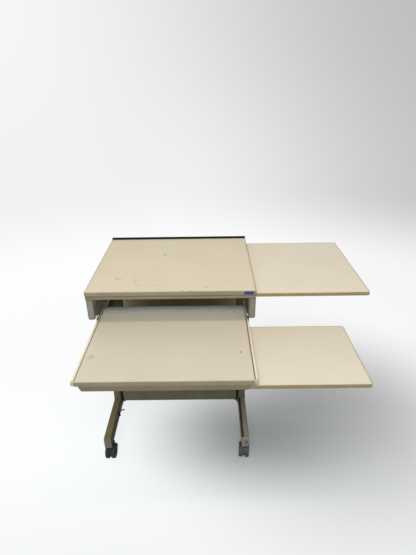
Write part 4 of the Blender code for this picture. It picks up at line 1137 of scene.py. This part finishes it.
class DESK_OT_slides(bpy.types.Operator):
    """Makes the hangers with their guide discs, the tracks, runners, caps and rollers of the tray's slides"""

    bl_idname = "desk.slides"
    bl_label = "Roller slides"

    def execute(self, context):
        for name, side in SIDES.items():
            self.hanger(name, side)
            self.track(name, side)
            self.runner(name, side)
            self.cap(f"{name}_runner_cap")
            for kind in ("track_roller", "runner_roller"):
                self.roller(f"{name}_{kind}")
        return {"FINISHED"}

    def hanger(self, name, side):
        """A sheet folded over the track: its section drawn along Y, a flat tab in front of that, and guide
        discs turned about X on its inner face."""
        size = sizes()
        node = f"{name}_slide_hanger"
        low, high = span(node)
        track_low, track_high = span(f"{name}_slide_track")
        out, near = (low[0], high[0]) if side < 0 else (high[0], low[0])
        plate, bend = side * size.sheet, size.fold + size.sheet
        shelf = track_high[2] + size.fit
        section = outline([
            (near, high[2], 0.0), (near, shelf, bend), (out - plate, shelf, size.fold),
            (out - plate, low[2], 0.0), (out, low[2], 0.0), (out, shelf + size.sheet, bend),
            (near + plate, shelf + size.sheet, size.fold), (near + plate, high[2], 0.0),
        ])
        front = track_low[1] - size.hanger_lead
        x0, x1 = sorted((near, near + plate))
        tab_low = (x0 + size.fit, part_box(f"{name}_side_bracket")[0].z + size.fit)
        tab_high = (x1 - size.fit, high[2])
        shapes = [
            prism(section, "Y", front, high[1]),
            prism(rectangle(tab_low, tab_high), "Y", low[1], front + size.sheet),
        ]
        # Painted light and shade: the left hanger lighter, the right one darker
        coat = powder_coat(node + " coat", shade(colours().hanger, HANGER_PAINTED_SHADING[name]), low, high)
        make_piece(node + "_folded", shapes, coat, "desk", (node,), SOFT_EDGE)

        discs = [
            turned(self.disc(side), (near, low[1] + reach, shelf + rise), ALONG_X, 24)
            for reach, rise in GUIDE_DISCS
        ]
        make_piece(f"{name}_guide_discs", discs, finish("nylon"), "desk", (), NO_EDGE)

    def disc(self, side):
        """The profile of a small guide disc on a hanger: a flat button with a rounded rim and a dimple."""
        rim, ring, dimple = sizes().disc, 0.0026, 0.0018
        root, face, bottom = -0.0004, 0.0018, 0.0009
        points = np.array([
            (0.0, root, 0.0), (rim, root, 0.0), (rim, face, 0.0008),
            (ring, face, 0.0004), (dimple, bottom, 0.0), (0.0, bottom, 0.0),
        ])
        return outline(points * (1.0, -side, 1.0), 3)

    def track(self, name, side):
        """A channel of sheet, open inwards, drawn along Y, with the pin of its roller."""
        size = sizes()
        sheet, inner = size.slide_sheet, size.fold / 2
        outer = inner + sheet
        node = f"{name}_slide_track"
        low, high = span(node)
        web, lip = (low[0], high[0]) if side < 0 else (high[0], low[0])
        inside = web - side * sheet
        section = outline([
            (web, low[2], outer), (lip, low[2], 0.0), (lip, low[2] + sheet, 0.0),
            (inside, low[2] + sheet, inner), (inside, high[2] - sheet, inner),
            (lip, high[2] - sheet, 0.0), (lip, high[2], 0.0), (web, high[2], outer),
        ])
        shapes = [prism(section, "Y", low[1], high[1]), self.pin(f"{name}_track_roller_spin", web)]
        make_piece(node + "_formed", shapes, finish("slide coat"), "desk", (node,), FINE_EDGE)

    def runner(self, name, side):
        """An angle of sheet drawn along Y, with a shallow groove beside the tray and its roller's pin."""
        size = sizes()
        sheet, inner = size.slide_sheet, size.fold / 2
        node = f"{name}_tray_runner"
        low, high = span(node)
        web, lip = (high[0], low[0]) if side < 0 else (low[0], high[0])
        inside = web + side * sheet
        groove, seam = high[2] - size.strip_groove, web + side * size.strip_seam
        section = outline([
            (web, low[2], 0.0), (inside, low[2], 0.0), (inside, high[2] - sheet, inner),
            (lip, high[2] - sheet, 0.0), (lip, high[2], 0.0), (seam, high[2], 0.0), (seam, groove, 0.0),
            (web, groove, 0.0),
        ])
        # The strip's seam beside the tray gets a band of painted shade
        coat = slide_coat(node + " coat", colours().slides, (web, size.strip_seam))
        shapes = [prism(section, "Y", low[1], high[1]), self.pin(f"{name}_runner_roller_spin", web)]
        make_piece(node + "_formed", shapes, coat, "tray", (node,), FINE_EDGE)

    def cap(self, node):
        """A block with rounded front corners, drawn up from above the runner's underside."""
        low, high = span(node)
        corner = 0.002
        points = rectangle(low[:2], high[:2], (corner, corner, 0.0, 0.0))
        shapes = [prism(points, "Z", low[2] + sizes().cap_lift, high[2])]
        coat = finish("dull nylon")
        make_piece(node + "_moulded", shapes, coat, "tray", (node,), edge=0.0010)

    def pin(self, joint, web):
        """The pin of a roller: a profile turned about the roller's axis, from the web to a riveted head."""
        middle = np.array(JOINTS[joint]["pos_m"])
        low, high = span(JOINTS[joint]["child"])
        far = (high[0] if web < middle[0] else low[0]) - middle[0]
        near = web - middle[0]
        sign = math.copysign(1.0, far - near)
        radius, root, shoulder = 0.0019, near + sign * 0.0004, far - sign * 0.0005
        profile = np.array([(0.0, root), (radius, root), (radius, shoulder), (0.0, far)])
        return turned(profile, middle, ALONG_X, 16)

    def roller(self, node):
        """A roller: rim with rounded edges, a web set in on both faces and a hub round the bore. The profile
        is one face from the bore to the rim, and its mirror image back."""
        low, high = span(node)
        middle = np.array(JOINTS[node + "_spin"]["pos_m"])
        radius, half = (high[2] - low[2]) / 2, (high[0] - low[0]) / 2
        bore, dish = 0.0024, half - 0.0010
        face = np.array([
            (bore, half, 0.0), (0.44 * radius, half, 0.0002), (0.48 * radius, dish, 0.0003),
            (0.70 * radius, dish, 0.0003), (0.78 * radius, half, 0.0003), (radius, half, 0.0008),
        ])
        profile = outline(np.vstack([face, face[::-1] * (1.0, -1.0, 1.0)]), 2)
        shapes = [turned(profile, middle, ALONG_X, 40)]
        make_piece(node + "_moulded", shapes, finish("nylon"), node, (node,), NO_EDGE)


class DESK_OT_legs(bpy.types.Operator):
    """Makes the feet with their caps and strips, the columns, head arms and risers, and the weld beads"""

    bl_idname = "desk.legs"
    bl_label = "Legs"

    def execute(self, context):
        for name, side in SIDES.items():
            self.foot(name)
            self.column(name)
            self.head_arm(name)
            self.riser(name, side)
        self.right_trim()
        self.cap_slots()
        self.left_strip()
        return {"FINISHED"}

    def foot(self, name):
        """A rectangular tube along Y, with a cap in each end."""
        size = sizes()
        node = f"{name}_foot"
        low, high = span(node)
        # The left foot's colour holds painted shade, the right foot's painted light
        base = getattr(colours(), node)
        coat = powder_coat(node + " coat", base, low, high, grime_and_edge_shade=0.6, rust=0.5, gloss=0.03)
        shapes = [hollow(low[[0, 2]], high[[0, 2]], size.foot_corner, size.tube_wall, "Y", low[1], high[1])]
        make_piece(node + "_tube", shapes, coat, "desk", (node,), SOFT_EDGE)
        for end in ("front", "rear"):
            self.cap(f"{name}_{end}_foot_cap", low, high, end == "front")

    def column(self, name):
        """A rectangular tube along Z, with a weld bead round each end."""
        size = sizes()
        node = f"{name}_column"
        low, high = span(node)
        coat = powder_coat(node + " coat", colours().legs, low, high, grime_and_edge_shade=0.5, rust=0.3)
        shapes = [hollow(low[:2], high[:2], size.column_corner, size.tube_wall, "Z", low[2], high[2])]
        make_piece(node + "_tube", shapes, coat, "desk", (node,), SOFT_EDGE)
        path = rectangle(low[:2], high[:2], size.column_corner)
        beads = [bead(path, low[2], size.weld), bead(path, high[2], 0.8 * size.weld)]
        make_piece(f"{name}_column_welds", beads, coat, "desk", (), NO_EDGE)

    def head_arm(self, name):
        """A folded box, open below."""
        size = sizes()
        node = f"{name}_head_arm"
        low, high = span(node)
        draw = partial(rectangle, low[:2], high[:2], size.column_corner)
        nose = size.fold + size.tube_wall
        shapes = [folded_box(draw, "Z", high[2], low[2], nose, size.tube_wall, 5)]
        coat = powder_coat(node + " coat", colours().legs, low, high)
        make_piece(node + "_folded", shapes, coat, "desk", (node,), NO_EDGE)

    def riser(self, name, side):
        """A plate with a rectangular tube on it, and a weld bead round the tube's foot."""
        size = sizes()
        node = f"{name}_riser"
        low, high = span(node)
        plate = low[2] + size.riser_plate
        x0 = low[0] if side < 0 else high[0] - size.riser_width
        rear = high[1] - size.riser_inset
        tube_low, tube_high = (x0, rear - size.riser_depth), (x0 + size.riser_width, rear)
        coat = powder_coat(node + " coat", shade(colours().inner, RISER_TONE), low, high)
        shapes = [
            prism(rectangle(low[:2], high[:2], size.foot_corner), "Z", low[2], plate),
            hollow(tube_low, tube_high, size.column_corner, size.tube_wall, "Z", plate, high[2]),
        ]
        make_piece(node + "_welded", shapes, coat, "desk", (node,), edge=0.0004)
        path = rectangle(tube_low, tube_high, size.column_corner)
        beads = [bead(path, plate, 0.7 * size.weld)]
        make_piece(f"{name}_riser_welds", beads, coat, "desk", (), NO_EDGE)

    def right_trim(self):
        """A flat strip along the inner edge of the right foot, in front of the column, and a thin dark one of
        painted
        shadow in the gap beside it: rounded rectangles drawn up from the foot's top."""
        size, tint = sizes(), colours()
        low, high = span("right_foot")
        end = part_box("right_column")[0].y - size.weld
        edge = low[0] + size.foot_trim
        for name, x0, x1, rise, base in (
            ("right_foot_trim", low[0] + size.arris, edge, size.trim_rise, tint.trim),
            ("right_foot_gap", edge, edge + size.trim_gap_shadow, size.fit, tint.gap),
        ):
            coat = powder_coat(name + " coat", base, low, high, chips=0.15, grime_and_edge_shade=0.3, rust=0.5)
            points = rectangle((x0, low[1] + size.fit), (x1, end), STRIP_CORNER)
            shapes = [prism(points, "Z", high[2] - size.arris, high[2] + rise)]
            make_piece(name, shapes, coat, "desk", (), FINE_EDGE)

    def cap_slots(self):
        """Two flat dark slots in the right foot's front cap, painted shade: rounded rectangles drawn along Y
        through its face.
        """
        size = sizes()
        low, high = span("right_foot")
        cap_low, cap_high = span("right_front_foot_cap")
        x0, x1 = low[0] + size.slot_start, high[0] - size.slot_end
        corner = 0.0015
        slots = []
        for share in SLOTS:
            z0 = low[2] + share * (high[2] - low[2]) - size.slot / 2
            points = rectangle((x0, z0), (x1, z0 + size.slot), corner)
            slots.append(prism(points, "Y", cap_low[1] - size.fit, cap_low[1] + size.fit))
        # Painted shade: the slots are flat dark strips in the cap's face
        base = shade(colours().trim, 0.9)
        coat = powder_coat("right_cap_slots coat", base, cap_low, cap_high, chips=0.0, grime_and_edge_shade=0.3)
        make_piece("right_cap_slots", slots, coat, "desk", (), NO_EDGE)

    def left_strip(self):
        """A dark strip on the left foot's inner side, in front of the column, partly trim and partly painted
        shade of
        that side: a rounded rectangle drawn along X from the foot's side."""
        size = sizes()
        low, high = span("left_foot")
        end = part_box("left_column")[0].y - size.weld
        start = (low[1] + size.fit, low[2] + size.strip_rise)
        points = rectangle(start, (end, high[2] - size.foot_corner), STRIP_CORNER)
        shapes = [prism(points, "X", high[0] - size.arris, high[0] + 2 * size.fit)]
        # Painted shade: the trim colour darkened for the shaded inner side
        base = shade(colours().trim, 0.6)
        coat = powder_coat(
            "left_foot_strip coat", base, low, high, chips=0.15, grime_and_edge_shade=0.3, rust=0.5, gloss=0.03
        )
        make_piece("left_foot_strip", shapes, coat, "desk", (), FINE_EDGE)

    def cap(self, node, foot_low, foot_high, front):
        """A moulded cap: a plug inside the tube and a lid of the tube's own outline, its face crowned by
        insets of the outline, with three low ribs across it."""
        size = sizes()
        low, high = span(node)
        ends = (low[1], high[1], foot_low[1]) if front else (high[1], low[1], foot_high[1])
        face, inner_end, tube_end = ends
        out = math.copysign(1.0, face - tube_end)
        seat, nose = 0.0002, 0.0011
        lid = tube_end + out * seat
        plug = low[0] - foot_low[0]
        insets, places = crown(face, out, nose)
        insets = np.concatenate([[plug, plug, 0.0], insets])
        places = np.concatenate([[inner_end, lid, lid], places])
        draw = partial(rectangle, foot_low[[0, 2]], foot_high[[0, 2]], size.foot_corner)
        shapes = [pan([draw(inset) for inset in insets], "Y", places)]
        x0, x1 = foot_low[0] + size.rib_inset, foot_high[0] - size.rib_inset
        sunk, raised, round_ = 0.0004, 0.0007, 0.0014
        for share in RIBS:
            z0 = foot_low[2] + share * (foot_high[2] - foot_low[2]) - size.rib / 2
            rib = rectangle((x0, z0), (x1, z0 + size.rib), round_)
            shapes.append(prism(rib, "Y", face - out * sunk, face + out * raised))
        coat = finish(node.split("_")[0] + " caps")
        make_piece(node + "_moulded", shapes, coat, "desk", (node,), SOFT_EDGE)


class DESK_OT_modesty_panel(bpy.types.Operator):
    """Makes the modesty panel with its arch, and the cable hook on the left foot"""

    bl_idname = "desk.modesty_panel"
    bl_label = "Modesty panel and hook"

    def execute(self, context):
        self.panel()
        self.hook()
        return {"FINISHED"}

    def panel(self):
        """A sheet with an arch cut out below, drawn along Y, a flange along X at each end, and thin dark
        strips of painted shadow in the gaps beside the columns."""
        size = sizes()
        low, high = span("modesty_panel")
        sheet, radius = size.sheet, size.arch
        x0, x1 = low[0] + sheet, high[0] - sheet
        arch = low[2] + radius
        corner, flange_corner = 0.003, 0.004
        sheet_outline = outline([
            (low[0], low[2], 0.0), (x0, low[2], 0.0), (x0, arch, radius), (x1, arch, radius),
            (x1, low[2], 0.0), (high[0], low[2], 0.0), (high[0], high[2], corner), (low[0], high[2], corner),
        ], 10)
        shapes = [prism(sheet_outline, "Y", low[1], low[1] + sheet)]
        radii = (0.0, flange_corner, flange_corner, 0.0)
        flange = rectangle((low[1] + sheet, low[2]), high[1:], radii)
        shapes += [prism(flange, "X", start, end) for start, end in ((low[0], x0), (x1, high[0]))]
        coat = powder_coat("modesty panel coat", colours().panel, low, high, chips=0.6, grime_and_edge_shade=0.7)
        make_piece(
            "modesty_panel_folded", shapes, coat, "desk", ("modesty_panel",), edge=0.0004
        )

        # Painted shadow: dark strips in the gaps beside the columns
        shapes = []
        for x in (low[0] + size.fit, high[0] - size.fit - size.panel_gap):
            strip = rectangle((x, arch), (x + size.panel_gap, high[2] - size.fit))
            shapes.append(prism(strip, "Y", low[1] - size.fit, low[1] + sheet / 2))
        coat = powder_coat("panel gap coat", colours().gap, low, high, chips=0.0)
        make_piece("modesty_panel_gaps", shapes, coat, "desk", (), NO_EDGE)

    def hook(self):
        """A round wire along a straight shank and a quarter of an ellipse."""
        size = sizes()
        low, high = span("cable_hook")
        thick = size.wire
        start = np.array([low[0] + thick, (low[1] + high[1]) / 2, 0.0])
        bend = low[2] + size.hook_shank
        turn = np.linspace(0.0, math.pi / 2, 14)
        reach, rise = high[0] - start[0], high[2] - thick - bend
        shank = np.linspace(low[2] + thick, bend, 4, endpoint=False)
        path = np.concatenate([
            np.column_stack([0 * shank, 0 * shank, shank]),
            np.column_stack([(reach - thick) * (1 - np.cos(turn)), 0 * turn, bend + rise * np.sin(turn)]),
        ])
        coat = powder_coat("hook coat", colours().trim, low, high, chips=0.2)
        shapes = [wire(path + start, thick)]
        make_piece("cable_hook_bent", shapes, coat, "desk", ("cable_hook",), NO_EDGE)


class DESK_OT_casters(bpy.types.Operator):
    """Makes four twin-wheel casters, each with a hood, web, neck, axle caps and two wheels"""

    bl_idname = "desk.casters"
    bl_label = "Casters"

    def execute(self, context):
        for name in CASTERS:
            swivel = np.array(JOINTS[name + "_swivel"]["pos_m"]) * (1.0, 1.0, 0.0)
            spin = JOINTS[name + "_left_wheel_spin"]
            across = unit(np.array(spin["axis"], float))
            axle = np.array(spin["pos_m"])
            self.body(name, swivel, across, axle)
            for side, sign in SIDES.items():
                self.wheel(f"caster_{name}_{side}_wheel", across * sign, axle)
        return {"FINISHED"}

    def body(self, name, swivel, across, axle):
        """The hood is a section across the axle carried round it, from its edge above the wheels to its lower
        edge on the stem's side; the web is a disc, larger under the hood; the neck and axle caps are
        turned."""
        size = sizes()
        node = f"caster_{name}_body"
        trail = unit((axle - swivel) * (1.0, 1.0, 0.0))
        reach = size.web / 2 + size.wheel_gap + size.wheel_width
        inner = size.wheel + size.hood_gap
        outer = inner + size.hood_wall
        drop = math.asin(size.hood_cut / outer)
        section = outline([
            (-reach, inner, 0.0004), (reach, inner, 0.0004), (reach, outer, 0.0018), (-reach, outer, 0.0018),
        ])
        edge = math.acos(size.hood_open / outer)
        angle = np.linspace(edge, math.pi + drop, 36)[:, None]
        x, radius = np.broadcast_arrays(section[None, :, 0], section[None, :, 1] + 0 * angle)
        shapes = [skin(np.stack([x, np.cos(angle) * radius, np.sin(angle) * radius], -1))]
        overlap = 0.0005
        for start, end, disc in ((edge, math.pi + drop, inner + overlap), (0.0, 2 * math.pi, size.web_disc)):
            sweep = np.linspace(start, end, 48, endpoint=end < 2 * math.pi)
            rim = np.column_stack([np.cos(sweep), np.sin(sweep)]) * disc
            shapes.append(prism(rim, "X", -size.web / 2, size.web / 2))
        cap, root, crowned = 0.0055, 0.004, 0.0006
        for sign in SIDES.values():
            profile = outline([
                (0.0, sign * root, 0.0), (cap, sign * root, 0.0),
                (cap, sign * (reach - crowned), 0.0012), (0.0, sign * (reach + crowned), 0.0),
            ], 3)
            shapes.append(turned(profile, (0.0, 0.0, 0.0), ALONG_X, 24))
        shapes = [local_to_world(shape, axle, across, trail) for shape in shapes]
        base, shoulder = axle[2] + inner - 0.012, axle[2] + outer - 0.001
        shapes.append(self.neck(swivel, base, shoulder))
        coat = finish(name.split("_")[1] + " caster plastic")
        make_piece(node + "_moulded", shapes, coat, f"caster_{name}", (node,), NO_EDGE)

    def neck(self, swivel, base, shoulder):
        """A profile turned about the swivel: from a base inside the hood over a shoulder to a collar under
        the foot."""
        collar = sizes().neck
        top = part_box("left_foot")[0].z
        wide, waist, end = collar + 0.003, collar - 0.001, top - 0.0004
        profile = outline([
            (0.0, base, 0.0), (wide, base, 0.0), (wide, shoulder, 0.002), (waist, top - 0.006, 0.002),
            (collar, top - 0.004, 0.0006), (collar, end, 0.0005), (0.0, end, 0.0),
        ], 3)
        return turned(profile, swivel, UPWARD, 36)

    def wheel(self, node, outward, axle):
        """A wheel turned from its section: crowned tread, rounded shoulders, a dished outer face with a
        raised ring and a hub."""
        size = sizes()
        near = size.web / 2 + size.wheel_gap
        far = near + size.wheel_width
        radius = size.wheel
        dish = np.array([
            (0.80, 0.0, 0.0010), (0.76, 0.0022, 0.0010), (0.48, 0.0030, 0.0010),
            (0.42, 0.0008, 0.0008), (0.24, 0.0008, 0.0006), (0.22, 0.0024, 0.0004),
        ])
        section = outline([
            (0.0046, near, 0.0), (radius, near, 0.0030), (radius, near + 0.0095, 0.0), (radius, far, 0.0062),
            *[(share * radius, far - deep, round_) for share, deep, round_ in dish],
            (0.0060, far - 0.0024, 0.0),
        ], 4)
        shapes = [turned(section, axle, outward, 56)]
        coat = finish(node.split("_")[2] + " caster plastic")
        make_piece(node + "_moulded", shapes, coat, node, (node,), NO_EDGE)


class DESK_OT_small_fittings(bpy.types.Operator):
    """Makes the screw heads and the blank plate on the front edge"""

    bl_idname = "desk.small_fittings"
    bl_label = "Screws and blank plate"

    def execute(self, context):
        self.screws()
        self.plate()
        return {"FINISHED"}

    def screws(self):
        """A row of heads along each bracket's outer side, and two larger ones on each column's."""
        size = sizes()
        heads = []
        for name, side in SIDES.items():
            outward = (side, 0.0, 0.0)
            low, high = span(f"{name}_side_bracket")
            face = low[0] if side < 0 else high[0]
            rows = np.linspace(low[1] + size.screw_end, high[1] - size.screw_end, 4)
            places = [(face, y, high[2] - size.screw_drop) for y in rows]
            heads += screw_heads(places, outward, size.screw)
            low, high = span(f"{name}_column")
            face = low[0] if side < 0 else high[0]
            middle = (low[1] + high[1]) / 2
            places = [(face, middle, low[2] + share * (high[2] - low[2])) for share in (0.12, 0.88)]
            heads += screw_heads(places, outward, 1.2 * size.screw)
        make_piece("desk_screws", heads, finish("plated screws"), "desk", (), NO_EDGE)

    def plate(self):
        """A rounded rectangle drawn forward from the front edge, its face crowned by insets."""
        size = sizes()
        low, high = span("top_edge_band")
        top = high[2] - size.plate_drop
        corner_low = (size.plate_place, top - size.plate_height)
        corner_high = (size.plate_place + size.plate_width, top)
        sunk, nose, corner = 0.0002, 0.0006, 0.0012
        insets, depths = crown(low[1] - size.plate_rise, -1.0, nose)
        insets = np.concatenate([[0.0], insets])
        depths = np.concatenate([[low[1] + sunk], depths])
        outlines = [rectangle(corner_low, corner_high, corner, inset) for inset in insets]
        shapes = [pan(outlines, "Y", depths)]
        make_piece("blank_plate", shapes, finish("blank plate"), "desk", (), NO_EDGE)


class DESK_OT_stage(bpy.types.Operator):
    """Makes the floor, the background, the lamps and the camera"""

    bl_idname = "desk.stage"
    bl_label = "Stage"

    def execute(self, context):
        self.floor()
        self.world()
        self.lamps()
        self.camera()
        context.scene.view_settings.view_transform = "Standard"
        return {"FINISHED"}

    def floor(self):
        """A flat sheet whose far parts fade into the background. To the camera it glows, less so in front as
        painted shade and in two soft oval patches of painted shadow, under the desk and wide to its right."""
        stage = bpy.context.scene.desk_stage
        count = 3
        across, deep = np.meshgrid(*(np.linspace(*ends, count) for ends in FLOOR_ENDS), indexing="ij")
        points = np.stack([across, deep, np.zeros_like(across)], -1).reshape(-1, 3)
        first = np.arange(count * count).reshape(count, count)[:-1, :-1].ravel()
        mesh = bpy.data.meshes.new("floor")
        faces = np.stack([first, first + count, first + count + 1, first + 1], -1)
        mesh.from_pydata(points, [], faces.tolist())
        obj = bpy.data.objects.new("floor", mesh)
        bpy.context.scene.collection.objects.link(obj)
        material, tree, shader = new_material("floor")
        shader.inputs["Roughness"].default_value = 0.9
        shader.inputs["Specular IOR Level"].default_value = 0.0
        shader.inputs["Base Color"].default_value = (*stage.floor, 1.0)
        shader.inputs["Emission Color"].default_value = (0.975, 1.0, 1.0, 1.0)
        place = own_place(tree)
        # Painted shade and shadow: the glow made weaker in front and in the two patches
        glow = ease(tree, parts_of(tree, place)[1], *FRONT_PAINTED_SHADE, stage.lift * stage.front_glow, stage.lift)
        for (middle, half, start, end), least in ((WIDE_PAINTED_SHADOW, 1.0 - stage.dim), (CORE_PAINTED_SHADOW, stage.core)):
            away = measure(tree, vector_calc(tree, "SUBTRACT", place, middle), half)
            glow = times(tree, glow, ease(tree, away, start, end, least))
        tree.links.new(times(tree, self.seen(tree), glow), shader.inputs["Emission Strength"])
        away = measure(tree, place, (1.0, 1.0, 1.0))
        clear = add_node(tree, "ShaderNodeBsdfTransparent").outputs[0]
        values = {0: ease(tree, away, *FLOOR_FADE), 1: shader.outputs[0], 2: clear}
        mixed = add_node(tree, "ShaderNodeMixShader", values).outputs[0]
        tree.links.new(mixed, tree.nodes["Material Output"].inputs["Surface"])
        mesh.materials.append(material)

    def seen(self, tree):
        """One for what the camera sees, straight, in gloss or through glass."""
        path = add_node(tree, "ShaderNodeLightPath").outputs
        rays = plus(tree, path["Is Camera Ray"], path["Is Glossy Ray"])
        return calc(tree, "ADD", rays, path["Is Transmission Ray"], clamp=True)

    def world(self):
        """Light from all round, stronger from above, from the front and from behind; the camera, mirrors and
        glass see a pale wall, darker to the right as painted shade, that meets the floor in a soft band."""
        stage = bpy.context.scene.desk_stage
        world = bpy.data.worlds.new("studio")
        bpy.context.scene.world = world
        world.use_nodes = True
        tree = world.node_tree
        direction = add_node(tree, "ShaderNodeTexCoord").outputs["Generated"]
        x, y, z = parts_of(tree, direction)
        # Painted shade: the wall darker to the right
        upper, lower, band = [
            blend(tree, ease(tree, x, start, end), (left,) * 3, (right,) * 3)
            for start, end, left, right in (
                (-0.45, 0.50, 0.93, 0.50), (-0.10, 0.55, 0.88, 0.56), (-0.10, 0.60, 0.985, 0.90),
            )
        ]
        wall = blend(tree, ease(tree, z, -0.28, 0.16), lower, upper)
        wall = blend(tree, ease(tree, z, -0.40, -0.24), band, wall)
        backdrop = tree.nodes["Background"]
        tree.links.new(wall, backdrop.inputs["Color"])
        above = times(tree, calc(tree, "MAXIMUM", z, 0.0), stage.sky)
        before = times(tree, calc(tree, "MINIMUM", y, 0.0), -stage.fill)
        behind = times(tree, calc(tree, "MAXIMUM", y, 0.0), stage.back)
        level = plus(tree, plus(tree, above, before), plus(tree, behind, stage.ambient))
        even = add_node(tree, "ShaderNodeBackground", {"Color": (*stage.shade, 1.0), "Strength": level})
        values = {0: self.seen(tree), 1: even.outputs[0], 2: backdrop.outputs[0]}
        mixed = add_node(tree, "ShaderNodeMixShader", values)
        tree.links.new(mixed.outputs[0], tree.nodes["World Output"].inputs["Surface"])

    def lamps(self):
        """A long lamp overhead and a wide one in front, both turned to the desk with their long sides kept
        square to the desk's front."""
        stage = bpy.context.scene.desk_stage
        middle = (CAD_BOX[0] + CAD_BOX[1]) / 2
        for name, place, power, tint, reach in (
            ("tube", stage.tube, stage.tube_power, stage.tube_colour, (3.0, 0.36)),
            ("front lamp", stage.front, stage.front_power, stage.front_colour, (1.8, 1.2)),
        ):
            lamp = bpy.data.lights.new(name, "AREA")
            lamp.shape = "RECTANGLE"
            lamp.size, lamp.size_y = reach
            lamp.energy = power
            lamp.color = tint
            obj = bpy.data.objects.new(name, lamp)
            bpy.context.scene.collection.objects.link(obj)
            obj.location = place
            aim = middle - obj.location
            obj.rotation_euler = (math.asin(aim.y / aim.length), -math.atan2(aim.x, -aim.z), 0.0)

    def camera(self):
        """Turned down by the pitch, then rolled about its own axis and turned about the vertical."""
        stage = bpy.context.scene.desk_stage
        data = bpy.data.cameras.new("camera")
        data.lens = stage.lens
        obj = bpy.data.objects.new("camera", data)
        bpy.context.scene.collection.objects.link(obj)
        turn = Matrix.Rotation(-stage.yaw, 3, "Z") @ Matrix.Rotation(math.pi / 2 - stage.pitch, 3, "X")
        obj.rotation_euler = (turn @ Matrix.Rotation(-stage.roll, 3, "Z")).to_euler()
        obj.location = stage.place
        bpy.context.scene.camera = obj


OPERATORS = (
    DESK_OT_finishes,
    DESK_OT_boards,
    DESK_OT_top_frame,
    DESK_OT_tray_steel,
    DESK_OT_slides,
    DESK_OT_legs,
    DESK_OT_modesty_panel,
    DESK_OT_casters,
    DESK_OT_small_fittings,
    DESK_OT_stage,
)


class DESK_PT_pieces(bpy.types.Panel):
    """Lists the desk's pieces in the sidebar"""

    bl_label = "Mobile computer desk"
    bl_idname = "DESK_PT_pieces"
    bl_space_type = "VIEW_3D"
    bl_region_type = "UI"
    bl_category = "Desk"

    def draw(self, context):
        for operator in OPERATORS:
            self.layout.operator(operator.bl_idname)


GROUPS = {"desk_sizes": DeskSizes, "desk_colours": DeskColours, "desk_stage": DeskStage}


def register():
    for owner in (*GROUPS.values(), *OPERATORS, DESK_PT_pieces):
        bpy.utils.register_class(owner)
    for name, owner in GROUPS.items():
        setattr(bpy.types.Scene, name, PointerProperty(type=owner))


def unregister():
    for name in GROUPS:
        delattr(bpy.types.Scene, name)
    for owner in (DESK_PT_pieces, *OPERATORS[::-1], *GROUPS.values()):
        bpy.utils.unregister_class(owner)


def main():
    register()
    for operator in OPERATORS:
        space, name = operator.bl_idname.split(".")
        getattr(getattr(bpy.ops, space), name)()


if __name__ == "__main__":
    main()
